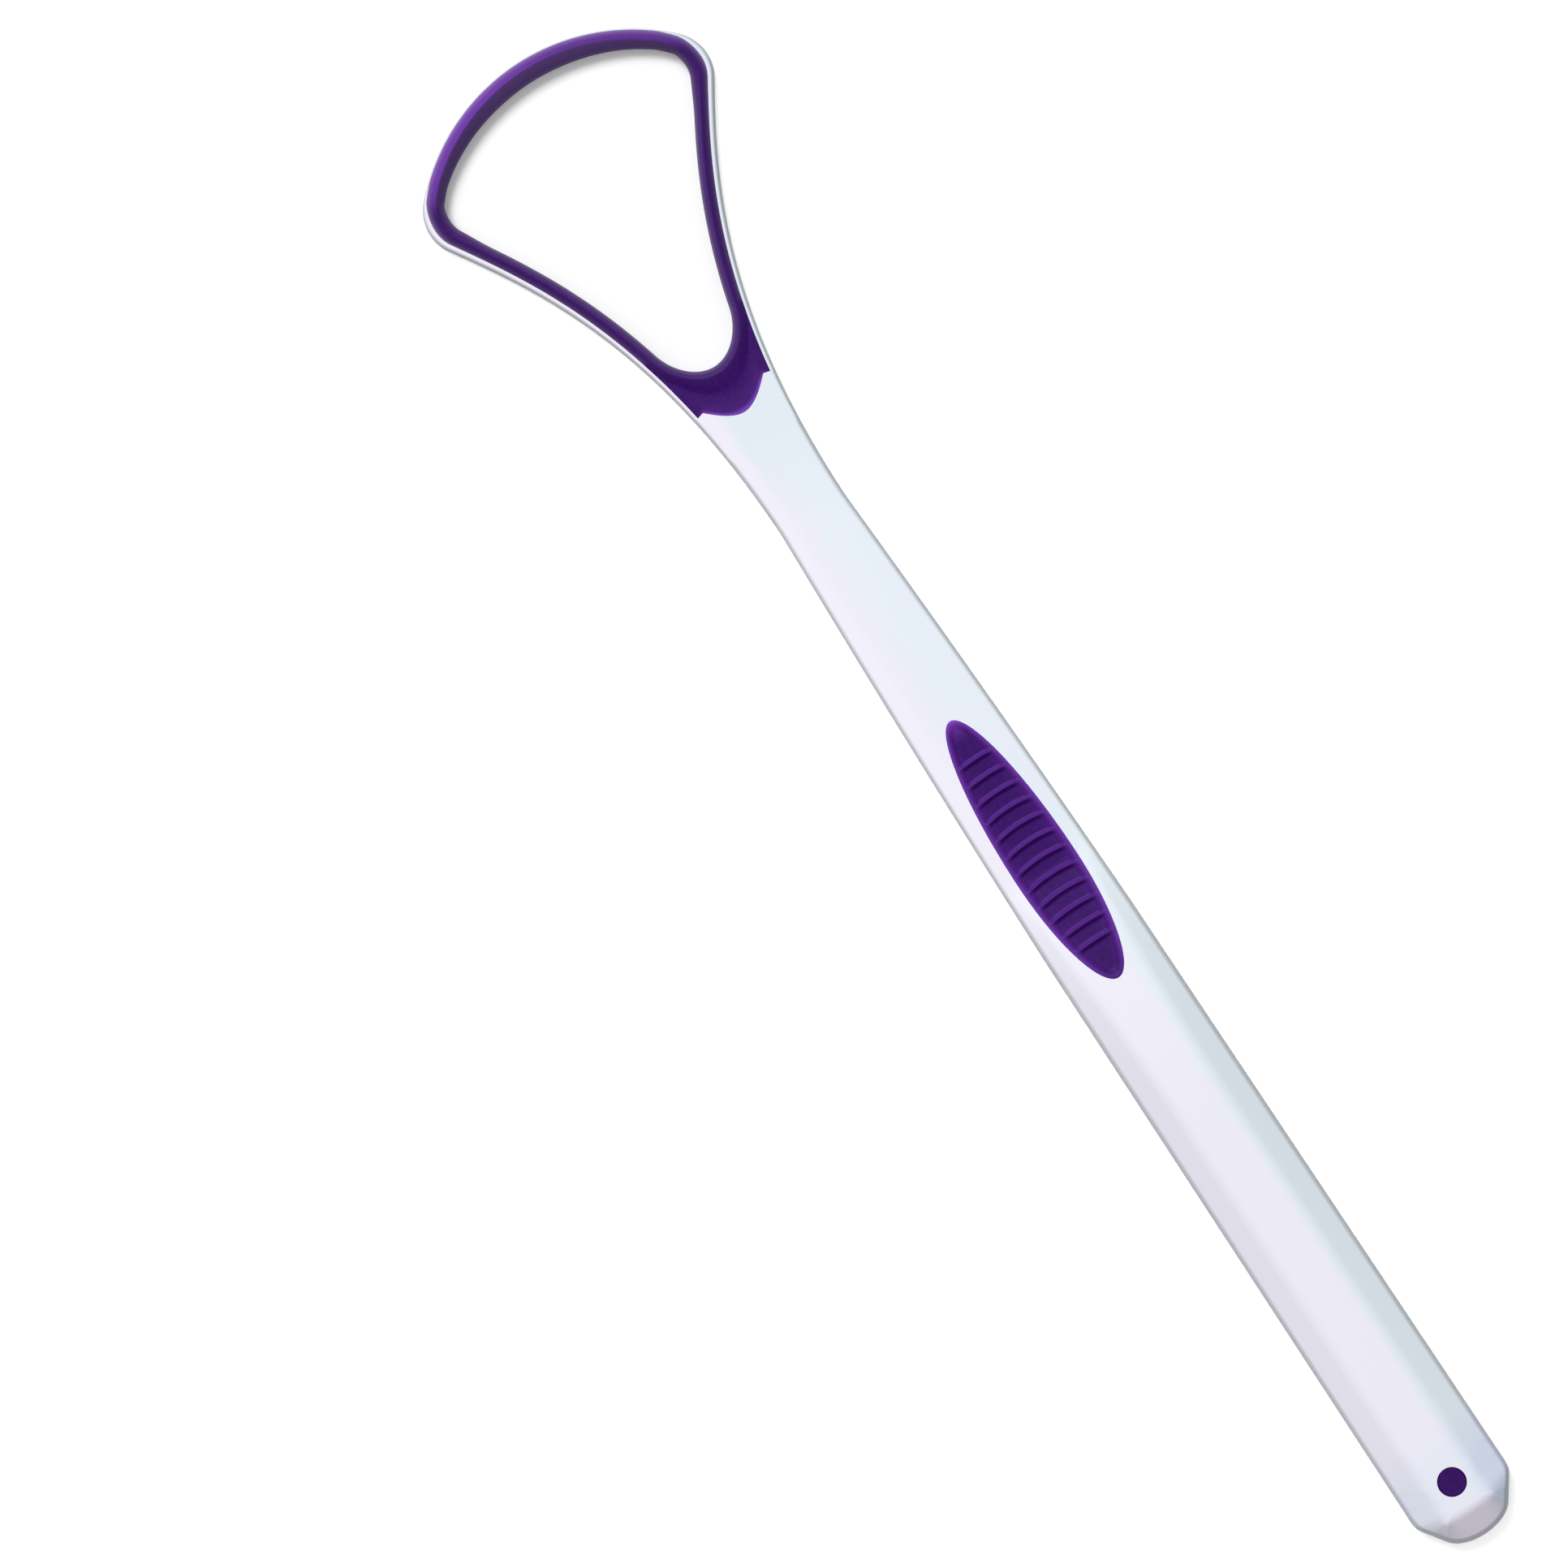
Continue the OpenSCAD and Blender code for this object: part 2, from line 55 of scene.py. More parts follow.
def box_mm(node):
    """Lowest and highest corner of a CAD node, in the part's own plan."""
    low, high = (np.array(corner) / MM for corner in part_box(node))
    return low + [HALF_LEN, 0, 0], high + [HALF_LEN, 0, 0]


FRAME_LOW, FRAME_HIGH = box_mm("handle_frame")
GRIP_LOW, GRIP_HIGH = box_mm("thumb_grip")
PLUG_LOW, PLUG_HIGH = box_mm("end_plug")

# Loop and arms: the far arc and its corners, the arms' angle to the axis, how far their curve holds
# its direction at each end, where the opening ends, and the length and shape of its narrow end
TOTAL_LEN = 2 * HALF_LEN
LOOP_W = FRAME_HIGH[1] - FRAME_LOW[1]
FAR_R = 24.2
CORNER_R = 5.2
ARM_ANGLE = math.radians(32.4)
ARM_LEAD = 10.6
WAIST_LEAD = 26.2
OPENING_END = 41.2
NOSE_LEN = 4.1
NOSE_LEAD = 0.62
NOSE_ROUND = 0.46

# Handle: place and width of the waist, the shoulder and the tail, the bow of the sides between the
# first two, and the length, width, bulge and roundings of the chamfered end
WAIST_X = 61.5
WAIST_W = 8.6
SHOULDER_X = 118
SHOULDER_W = 12
SIDE_BOW = 0.18
TAIL_W = 12.8
END_LEN = 4.8
END_W = 7
END_BULGE = 0.65
CHAMFER_R = 3.6
END_R = 1.2
END_ROUND = 0.27

# Heights and edges: the loop's top, the seat under the lip, the waist and the handle's sides; where
# the flat facet rises, its width and how far it stays from the end; how wide and deep the upper
# edges fall and how softly the creases bend, with END_ for those of the chamfered end
RING_T = 2.2
SEAT_Z = 1.2
WAIST_T = 3.3
SIDE_T = 3.5
RISE = FRAME_HIGH[2] - SIDE_T
RISE_X = 109.5
RISE_LEN = 32
FACET_W = 5.7
END_FACET = 3.6
END_DROP = 0.7
TOP_R = 0.5
EDGE_R = 0.62
END_EDGE_R = 0.68
END_FALL = 2
END_GUARD = 0.12
EDGE_FALL = 1.4
BOTTOM_R = 0.6
CREASE_SOFT = 0.9
END_SOFT = 0.65
END_BEND = 0.36
EDGE_INSET = 2.4 * TOP_R

# Rim, lip and pad: widths of the rim and the lip on the far arc, at the corners and on the arms, the
# ridge's crest and slopes, and the pad's length, width, flanks, barbs and bead
RIM_FAR = 0.2
RIM_CORNER = 0.77
RIM_ARM = 0.58
RIM_ROUND = 0.7
RIM_CREASE = 0.85
RIM_START = 0.88
RIM_GROW = 0.7
LIP_FAR = 2.62
LIP_CORNER = 2.06
LIP_ARM = 1.68
LIP_START = 0.1
LIP_TAPER = 6
TAPER_START = 0.33
LIP_OVERHANG = 0.25
INNER_DROP = 0.4
CREST_OUT = 1
CREST_FAR = 1
CREST_ARM = 0.75
CREST_NECK = 0.7
CREST_NECK_IN = 0.9
RIDGE_NECK = 3
RIDGE_FOOT = 0.96
CREST_HALF = 0.2
CREST_HALF_ARM = 0.34
CREST_DROP = 0.44
INNER_RISE = 0.58
OUTER_RISE = 0.54
TUCK = 0.65
PAD_LEN = 6.2
PAD_END_LEN = 2.5
PAD_W = 8.2
PAD_FLANK = math.radians(45)
FLANK_LEAD = 2.1
TIP_LEAD = 1.2
BARB_LEN = 0.3
BARB_SHARE = 0.5
SHOULDER_STEP = 1 / 28
BEAD_W = 0.5
BEAD_H = 0.12
BEAD_REACH = 0.7
BEAD_EDGE = 0.6

# Grip and plug: the gap round the soft parts, the grip's lens with its border, field and ribs, and
# the plug
BOND_GAP = 0.02
GRIP_X = 109.5
GRIP_FRONT = GRIP_X - GRIP_LOW[0] + BOND_GAP
GRIP_REAR = GRIP_HIGH[0] - GRIP_X + BOND_GAP
GRIP_W = GRIP_HIGH[1] - GRIP_LOW[1] + 2 * BOND_GAP
GRIP_FLOOR = GRIP_LOW[2] - BOND_GAP
BORDER_H = 0.12
BORDER_EDGE = 0.25
BORDER_FALL = 1.0
FIELD_D = 0.2
RIB_N = 12
RIB_PITCH = 2.233
RIB_LEAD = 14.8
RIB_FRONT_W = 0.42
RIB_REAR_W = 0.55
RIB_H = 0.44
RIB_BOW = 0.5
PLUG_R = (PLUG_HIGH[0] - PLUG_LOW[0]) / 2 + BOND_GAP
PLUG_X = (PLUG_HIGH[0] + PLUG_LOW[0]) / 2
PLUG_FLOOR = PLUG_LOW[2] - BOND_GAP
PLUG_CHAMFER = 0.18

# Steps along the far arc, corner, arm and nose of the loop
FAR_N, CORNER_N, ARM_N, NOSE_N = 44, 26, 56, 44
# Steps round a corner of a section, the crease, the falling edge and the edge of the back
ROUND_N = 6
CREASE_N = 5
FALL_N = 9
EDGE_N = 5
# Sections along the neck, half the grip's pocket, the tail and the plug's hole
NECK_N, POCKET_N, TAIL_N, HOLE_N = 46, 31, 70, 25
# Steps round the side's rounding, the chamfer and the end
SIDE_N, CHAMFER_N, END_N = 12, 6, 24
# Steps across half the grip and round each of its ends, its step along the middle, and round the plug
GRIP_N, TIP_N, GRIP_STEP = 45, 22, 0.1
PLUG_N = 72
# Steps to find the place of an x on a curve
CURVE_N = 2001
# A corner's rounding takes at most this share of the line beside it
CORNER_SHARE = 0.48
# Shares and lengths below this are taken as none
TINY = 1e-6
# Points closer than this become one, and shorter edges go, in metres
WELD = 2e-7
SHORT = 1e-7


def mix(a, b, t):
    return a + (b - a) * t


def clamp(t):
    return min(1.0, max(0.0, t))


def ease(t):
    c = clamp(t)
    return c * c * (3 - 2 * c)


def unit(v):
    return v / np.linalg.norm(v)


def plan(x, y):
    return np.array([x, y], float)


def at(p, z):
    return np.array([p[0], p[1], z], float)


def left_of(v):
    return plan(-v[1], v[0])


def bend(start, corner, end, steps):
    """Points of the quadratic curve that turns at a corner."""
    shares = [k / steps for k in range(steps + 1)]
    return [(1 - t) ** 2 * start + 2 * (1 - t) * t * corner + t * t * end for t in shares]


class Cubic:
    """A cubic curve in the plan, with its direction and the share at which it reaches an x."""

    def __init__(self, *points):
        self.p = [np.asarray(q, float) for q in points]
        self.shares = np.linspace(0, 1, CURVE_N)
        self.xs = np.array([self.point(t)[0] for t in self.shares])

    def point(self, t):
        a, b, c, d = self.p
        return (1 - t) ** 3 * a + 3 * (1 - t) ** 2 * t * b + 3 * (1 - t) * t * t * c + t ** 3 * d

    def direction(self, t):
        a, b, c, d = self.p
        return unit((1 - t) ** 2 * (b - a) + 2 * (1 - t) * t * (c - b) + t * t * (d - c))

    def share_at(self, x):
        return float(np.interp(x, self.xs, self.shares))


# Outline of the frame: far arc, corner arc touching it from inside, and the flare to the waist
CORNER_Y = LOOP_W / 2 - CORNER_R
CORNER_X = FAR_R - math.sqrt((FAR_R - CORNER_R) ** 2 - CORNER_Y ** 2)
JOIN_ANGLE = math.atan2(CORNER_Y, FAR_R - CORNER_X)
ARM_START = plan(CORNER_X + CORNER_R * math.sin(ARM_ANGLE), CORNER_Y + CORNER_R * math.cos(ARM_ANGLE))
ARM_DIR = plan(math.cos(ARM_ANGLE), -math.sin(ARM_ANGLE))
FLARE = Cubic(ARM_START, ARM_START + ARM_LEAD * ARM_DIR,
              plan(WAIST_X - WAIST_LEAD, WAIST_W / 2), plan(WAIST_X, WAIST_W / 2))
PAD_TIP = OPENING_END + PAD_LEN
PAD_SHOULDER = plan(PAD_TIP - PAD_END_LEN, PAD_W / 2)
FLANK_DIR = plan(math.cos(PAD_FLANK), -math.sin(PAD_FLANK))
PAD_CURVE = Cubic(PAD_SHOULDER, PAD_SHOULDER + FLANK_LEAD * FLANK_DIR,
                  plan(PAD_TIP, TIP_LEAD), plan(PAD_TIP, 0))
NECK_END = PAD_TIP + EDGE_INSET * 3
ARM_SHARE = FLARE.share_at(OPENING_END - NOSE_LEN)
BARB_AT = FLARE.share_at(PAD_SHOULDER[0] + BARB_LEN)
NECK_SHARE = FLARE.share_at(NECK_END)
SHOULDER_SHARE = BARB_SHARE + SHOULDER_STEP
TAIL_X = TOTAL_LEN - END_LEN
# Where the last straight section meets the side, a little before the chamfer's rounding
LAST_SHARE = 0.55
LAST_X = TAIL_X - LAST_SHARE * CHAMFER_R


def edge_z(x):
    """Height of the frame's side edge."""
    if x < WAIST_X:
        return mix(RING_T, WAIST_T, ease((x - ARM_START[0]) / (WAIST_X - ARM_START[0])))
    return mix(WAIST_T, SIDE_T, clamp((x - WAIST_X) / (RISE_X - WAIST_X)))


def rise_share(x):
    """How far the flat facet has risen above the sides, from 0 to 1."""
    s = clamp((x - RISE_X) / RISE_LEN)
    return 1 - (1 - s) ** 2


def top_z(x):
    """Height of the flat facet, or of the top where there is none."""
    return edge_z(x) + RISE * rise_share(x)


def side_z(x):
    """Height of the side edge, which falls round the chamfered end."""
    return edge_z(x) - END_DROP * clamp((x - TAIL_X) / END_LEN)


def side_y(x):
    """Half width of the handle."""
    if x < WAIST_X:
        return FLARE.point(FLARE.share_at(x))[1]
    if x < SHOULDER_X:
        s = (x - WAIST_X) / (SHOULDER_X - WAIST_X)
        return mix(WAIST_W, SHOULDER_W, s) / 2 + SIDE_BOW * 4 * s * (1 - s)
    return mix(SHOULDER_W, TAIL_W, (x - SHOULDER_X) / (TAIL_X - SHOULDER_X)) / 2


def crease_y(x):
    """Half width of the flat facet between the bevels."""
    return mix(side_y(x) - EDGE_INSET, FACET_W / 2, rise_share(x))


def rim_at(t):
    """Width of the white rim outside the lip."""
    grown = clamp((t - RIM_START) / RIM_GROW)
    return mix(mix(RIM_FAR, RIM_CORNER, 1 - (1 - grown) ** 2), RIM_ARM, clamp(t - 2))


def lip_at(t, x):
    """Width of the lip, from the rim to the opening."""
    head = mix(LIP_FAR, LIP_CORNER, ease(t - LIP_START))
    return mix(head, LIP_ARM, ease((x - ARM_START[0]) / LIP_TAPER + TAPER_START))


def round_edge(centre, r, angle):
    """Point and outward normal on an arc, by its angle from the far side."""
    out = plan(-math.cos(angle), math.sin(angle))
    return centre + r * out, out


def flare_edge(share):
    """Point and outward normal on the flare."""
    return FLARE.point(share), left_of(FLARE.direction(share))


def edge_at(t):
    """Outer edge of the frame and its outward normal: t is 0 to 1 on the far arc, 2 after the
    corner and 3 at the end of the arm."""
    if t < 1:
        return round_edge(plan(FAR_R, 0), FAR_R, JOIN_ANGLE * t)
    if t < 2:
        return round_edge(plan(CORNER_X, CORNER_Y), CORNER_R,
                          mix(JOIN_ANGLE, math.pi / 2 + ARM_ANGLE, t - 1))
    return flare_edge(ARM_SHARE * (t - 2))


def arm_station(t):
    edge, out = edge_at(t)
    rim = rim_at(t)
    return edge - (rim + lip_at(t, edge[0])) * out, out, edge - rim * out, edge, t


ARM_END = arm_station(3)
NOSE_DIR = plan(ARM_END[1][1], -ARM_END[1][0])
NOSE = Cubic(ARM_END[0], ARM_END[0] + NOSE_LEAD * NOSE_LEN * NOSE_DIR,
             plan(OPENING_END, NOSE_ROUND * ARM_END[0][1]), plan(OPENING_END, 0))


def neck_edge(s):
    """Outer edge of the frame and its normal: s is 0 at the arm's end, BARB_SHARE at the barb and 1
    behind the pad."""
    if s < BARB_SHARE:
        return flare_edge(mix(ARM_SHARE, BARB_AT, s / BARB_SHARE))
    return flare_edge(mix(BARB_AT, NECK_SHARE, (s - BARB_SHARE) / (1 - BARB_SHARE)))


def pad_edge(s):
    """Outer line of the lip up to the barb, then of the pad's end."""
    if s <= BARB_SHARE:
        edge, out = neck_edge(s)
        return edge - RIM_ARM * out
    return PAD_CURVE.point(clamp((s - SHOULDER_SHARE) / (1 - SHOULDER_SHARE)))


def nose_station(s):
    return NOSE.point(s), left_of(NOSE.direction(s)), pad_edge(s), neck_edge(s)[0], 3 + s


def loop_stations():
    """Opening point, normal, lip's outer point, frame's outer point and place, from the far edge
    round the corner and down the arm to the axis at the neck."""
    shares = [i / NOSE_N for i in range(1, NOSE_N + 1)]
    return ([arm_station(i / FAR_N) for i in range(FAR_N)]
            + [arm_station(1 + i / CORNER_N) for i in range(CORNER_N)]
            + [arm_station(2 + i / ARM_N) for i in range(ARM_N + 1)]
            + [nose_station(s) for s in shares if s < BARB_SHARE - TINY]
            + [nose_station(BARB_SHARE), nose_station(SHOULDER_SHARE)]
            + [nose_station(s) for s in shares if s > SHOULDER_SHARE + TINY])


def rounded(corners, radii, closed=False):
    """The corners of a section, each rounded over its radius by a quadratic curve."""
    points = []
    n = len(corners)
    for i, (corner, r) in enumerate(zip(corners, radii)):
        before, after = corners[i - 1] - corner, corners[(i + 1) % n] - corner
        if (not closed and i in (0, n - 1)) or r == 0:
            points.append(corner)
            continue
        reach = [np.linalg.norm(before), np.linalg.norm(after)]
        cut = min([r] + [CORNER_SHARE * d for d in reach])
        start, end = corner + before * (cut / reach[0]), corner + after * (cut / reach[1])
        points += bend(start, corner, end, ROUND_N)
    return points


def outer_run(inner, crease, outer, bottom, r, turn=0):
    """Half section from its top inside, over the soft crease and the falling edge, to the bottom.
    As turn goes to 1 they become those of the chamfered end, with its own bend and a deeper fall.
    One more point beside the edge keeps the slope's shading even there."""
    reach = np.linalg.norm(crease - outer)
    inward = (crease - outer) / reach
    to_inner = inner - crease
    run = np.linalg.norm(to_inner)
    z_inner, z_crease, z_edge = top_z(inner[0]), top_z(crease[0]), side_z(outer[0])
    slope = (z_crease - z_edge) / reach
    soft = min(mix(CREASE_SOFT, END_SOFT, turn), reach / 4, run / 2)
    share = max(END_BEND * turn, soft / run)
    before = at(crease + to_inner * share, mix(z_crease, z_inner, share))
    after = at(crease - soft * inward, z_crease - soft * slope)
    points = [at(inner, z_inner)] + bend(before, at(crease, z_crease), after, CREASE_N)
    start = at(outer + r * inward, z_edge + slope * r)
    points.append(mix(start, after, min(0.5, END_GUARD * turn / np.linalg.norm(after - start))))
    fall = min(mix(EDGE_FALL, END_FALL, turn), z_edge - BOTTOM_R)
    for a in np.linspace(0, math.pi / 2, FALL_N + 1):
        back = r * (1 - math.sin(a))
        points.append(at(outer + back * inward, z_edge + slope * back - fall * (1 - math.cos(a))))
    for a in np.linspace(0, math.pi / 2, EDGE_N + 1):
        points.append(at(outer + BOTTOM_R * (1 - math.cos(a)) * inward, BOTTOM_R * (1 - math.sin(a))))
    return points + [at(bottom, 0)]


def loop_section(st):
    """Section of the frame on the loop: rim, side, back, inner wall and seat."""
    opening, out, pad, edge, _ = st
    wall = opening + LIP_OVERHANG * out
    rim = np.linalg.norm(pad - edge)
    crease = mix(edge, pad, min(RIM_CREASE, EDGE_INSET / rim))
    floor_r = BOTTOM_R / 2
    inside = [at(wall, floor_r), at(wall, SEAT_Z), at(pad, SEAT_Z)]
    return outer_run(pad, crease, edge, wall + floor_r * out, min(TOP_R, RIM_ROUND * rim)) + inside


def hollow(x):
    """Half width and floor of the pocket or hole that opens on the axis at x, if there is one. Its
    very tip counts as closed."""
    s = (x - GRIP_X) / (GRIP_FRONT if x < GRIP_X else GRIP_REAR)
    if abs(s) < 1 - TINY:
        return GRIP_W / 2 * math.sqrt(1 - s * s), GRIP_FLOOR
    s = (x - PLUG_X) / PLUG_R
    if abs(s) < 1 - TINY:
        return PLUG_R * math.sqrt(1 - s * s), PLUG_FLOOR
    return 0, top_z(x)


def open_section(axis_x, crease, edge, bottom_x, r=EDGE_R, turn=0):
    """Section of the handle or its end, with the pocket's floor and wall where one opens."""
    half, floor = hollow(axis_x)
    inner = plan(axis_x, half)
    return ([at(plan(axis_x, 0), floor), at(inner, floor)]
            + outer_run(inner, crease, edge, plan(bottom_x, 0), r, turn))


def handle_stations():
    """Places of the straight sections, denser where a pocket or the hole begins and ends."""
    fans = [np.sin(np.linspace(-math.pi / 2, 0, POCKET_N)) * GRIP_FRONT + GRIP_X,
            np.sin(np.linspace(0, math.pi / 2, POCKET_N)) * GRIP_REAR + GRIP_X,
            np.sin(np.linspace(-math.pi / 2, math.pi / 2, HOLE_N)) * PLUG_R + PLUG_X]
    spans = [(NECK_END, fans[0][0], NECK_N), (fans[1][-1], fans[2][0], TAIL_N)]
    plain = [np.linspace(a, b, n)[1:-1] for a, b, n in spans]
    return np.concatenate([plain[0], fans[0], fans[1][1:], plain[1], fans[2]])


PLUG_REAR = PLUG_X + PLUG_R
# Lengths over which the slanting sections turn square behind the neck, and slant again at the end
SQUARE_LEN = 3 * END_LEN
SWING_LEN = 8


def handle_sections():
    """Sections from the neck to the start of the chamfered end. Near the end the axis and the crease
    lead the side, so that the whole hole lies within them."""
    made = []
    for x in handle_stations():
        turn = max(0, 1 - (x - NECK_END) / SQUARE_LEN)
        swing = max(0, 1 - (PLUG_REAR - x) / SWING_LEN)
        side = x - swing * (PLUG_REAR - LAST_X)
        made.append(open_section(x - (NECK_END - PAD_TIP) * turn, plan(x, crease_y(x)),
                                 plan(side, side_y(side)),
                                 x - (NECK_END - OPENING_END - LIP_OVERHANG - BOTTOM_R) * turn))
    return made


def end_sections():
    """Sections that turn round the chamfered end, from the side to the axis."""
    side_corner = plan(TAIL_X, TAIL_W / 2)
    end_corner = plan(TOTAL_LEN - END_BULGE, END_W / 2)
    along = unit(end_corner - side_corner)
    side = Cubic(side_corner - plan(CHAMFER_R, 0) / 2, side_corner, side_corner,
                 side_corner + along * CHAMFER_R / 2)
    end = Cubic(end_corner - END_R * along, end_corner, plan(TOTAL_LEN, END_ROUND * END_W),
                plan(TOTAL_LEN, 0))
    facet = plan(TOTAL_LEN - END_FACET, FACET_W / 2)
    leads = [mix(PLUG_REAR, facet[0], (i + 1) / (SIDE_N + 1)) for i in range(SIDE_N + 1)]
    stations = [(side.point(i / SIDE_N), plan(lead, facet[1])) for i, lead in enumerate(leads)]
    stations += [(mix(side.p[3], end.p[0], i / CHAMFER_N), facet) for i in range(1, CHAMFER_N)]
    last = [end.point(i / END_N) for i in range(END_N + 1)]
    stations += [(edge, plan(facet[0], facet[1] * edge[1] / last[0][1])) for edge in last]
    count = len(stations) - 1
    axis_end = facet[0] - 2 * CREASE_SOFT
    axis = [mix(PLUG_REAR, axis_end, min(1, (i + 1) / count)) for i in range(count + 1)]
    turned = [ease(i / SIDE_N) for i in range(count + 1)]
    return [open_section(x, crease, edge, x, mix(EDGE_R, END_EDGE_R, turn), turn)
            for x, (edge, crease), turn in zip(axis, stations, turned)]


def grid_faces(first, rows, cols, wrap):
    """Quads between rows of points, closed round each row if wrap is set."""
    faces = []
    for r in range(rows - 1):
        for c in range(cols if wrap else cols - 1):
            a, b = first + r * cols + c, first + r * cols + (c + 1) % cols
            faces.append((a, b, b + cols, a + cols))
    return faces


def make_mesh(name, points, faces, sharp, mirror=True, layers=None):
    """A smooth mesh object from plan points in millimetres, mirrored across the axis and joined.
    Edges that turn by more than sharp degrees stay sharp. layers hold a value from 0 to 1 for the
    material, at each point and then at each mirrored one."""
    points = np.array(points, float)
    if mirror:
        n = len(points)
        points = np.concatenate([points, points * [1, -1, 1]])
        faces = faces + [tuple(n + i for i in reversed(f)) for f in faces]
    mesh = bpy.data.meshes.new(name)
    mesh.from_pydata(((points - [HALF_LEN, 0, 0]) * MM).tolist(), [], faces)
    for key, values in (layers or {}).items():
        layer = mesh.attributes.new(key, "FLOAT", "POINT")
        layer.data.foreach_set("value", values)
    bm = bmesh.new()
    bm.from_mesh(mesh)
    bmesh.ops.remove_doubles(bm, verts=bm.verts, dist=WELD)
    bmesh.ops.dissolve_degenerate(bm, edges=bm.edges, dist=SHORT)
    bmesh.ops.recalc_face_normals(bm, faces=bm.faces)
    bm.to_mesh(mesh)
    bm.free()
    mesh.shade_smooth()
    mesh.set_sharp_from_angle(angle=math.radians(sharp))
    obj = bpy.data.objects.new(name, mesh)
    bpy.context.scene.collection.objects.link(obj)
    weighted = obj.modifiers.new("weighted_normals", "WEIGHTED_NORMAL")
    weighted.keep_sharp = True
    return obj


def make_frame():
    """The loop's sections and the handle's. The handle's run starts from the loop's last section."""
    loop = [loop_section(st) for st in loop_stations()]
    handle = handle_sections() + end_sections()
    run = len(handle[0]) - 2
    link = [loop[-1][0], loop[-1][0]] + loop[-1][:run]
    handle = [link] + handle
    points = [p for s in loop for p in s]
    faces = grid_faces(0, len(loop), len(loop[0]), True)
    faces += grid_faces(len(points), len(handle), len(handle[0]), False)
    return make_mesh("frame_body", points + [p for s in handle for p in s], faces, sharp=38)


# Rounding of each corner of a lip section, from the opening's edge over the crest to the bead, the
# seat and the inner face
LIP_RADII = [0.2, 1, 1, 1, 1, 1, 0.4, 0.12, 0.14, 0.1, 0, 0, 0.2]


def lip_section(st):
    """Ridge with a soft crest, then the pad or band, the outer wall, the seat and the inner face."""
    opening, out, pad, _, t = st
    neck = ease(t - 3)
    width = np.linalg.norm(pad - opening) if t <= 3 else LIP_ARM
    foot_in = mix(RIDGE_FOOT * width, RIDGE_NECK, neck * neck)
    crest_in = mix(width - CREST_OUT, CREST_NECK_IN, neck)
    crest_up = mix(mix(CREST_FAR, CREST_ARM, ease(t - 1)), CREST_NECK, neck)
    half = mix(CREST_HALF, CREST_HALF_ARM, ease(t - 1))
    edge = pad - BOND_GAP * out
    foot, crest = opening + foot_in * out, opening + crest_in * out
    before, after = crest - half * out, crest + half * out
    low, seat = top_z(foot[0]), SEAT_Z + BOND_GAP
    high, side = low + crest_up, low - INNER_DROP
    near = high - CREST_DROP * half
    bead_in = mix(edge, foot, min(BEAD_REACH, BEAD_W / np.linalg.norm(edge - foot)))
    bead_top = mix(edge, bead_in, 0.5)
    bead = BEAD_H * ease(2 * (t - 3 - SHOULDER_SHARE) / (1 - SHOULDER_SHARE))
    corners = [at(opening, side), at(mix(opening, before, 0.5), mix(side, near, INNER_RISE)),
               at(before, near), at(crest, high), at(after, near),
               at(mix(foot, after, 0.5), mix(low, near, OUTER_RISE)), at(foot, low),
               at(bead_in, top_z(bead_in[0])), at(bead_top, top_z(bead_top[0]) + bead),
               at(edge, top_z(edge[0]) + BEAD_EDGE * bead), at(edge, seat),
               at(opening + LIP_OVERHANG * out, seat), at(opening, mix(seat, side, TUCK))]
    return rounded(corners, LIP_RADII, closed=True)


# How much violet is painted on: a painted highlight on the far arc's outer slope, on the half to the
# light and on the one away from it, a paler violet along the pad's end edge, and a painted highlight on
# the grip's ribs, sides and front tip
FAR_HIGHLIGHT = 0.48
FAR_HIGHLIGHT_AWAY = 0.28
FAR_HIGHLIGHT_SPAN = 9
PAD_EDGE_PALE = 1.6
PAD_REACH = 0.22
PAD_GROW = 9
RIB_HIGHLIGHT = 0.27
SIDE_HIGHLIGHT = 0.62
SIDE_REACH = 0.45
TIP_HIGHLIGHT = 0.85
TIP_LEN = 3.6
TIP_POWER = 2.5
REAR_SHARE = 0.35
# Where the painted highlight on each rib's front, which faces the key, lies and how wide it is, in
# shares of the rib's half
RIB_GLOW_AT = 0.55
RIB_GLOW_W = 0.75
RIB_GLOW_SOFT = 0.6
# Where the far arc's painted highlight and painted reflection end, in places round the loop, and the
# crest's own width in them
FAR_FADE_AT = 0.8
FAR_FADE = 0.5
REFLECTION_FADE_AT = 1.5
CREST_LEAD = 0.25
CREST_FADE = 0.35
# How much painted reflection shows, pale and greyish: on the far arc's inner slope, which lies in
# shade, and along the inner and outer edge
SLOPE_REFLECTION = 0.18
INNER_REFLECTION = 0.42
INNER_REACH = 0.33
OUTER_REFLECTION = 0.75
OUTER_REFLECTION_ARM = 0.3
OUTER_REACH = 0.26


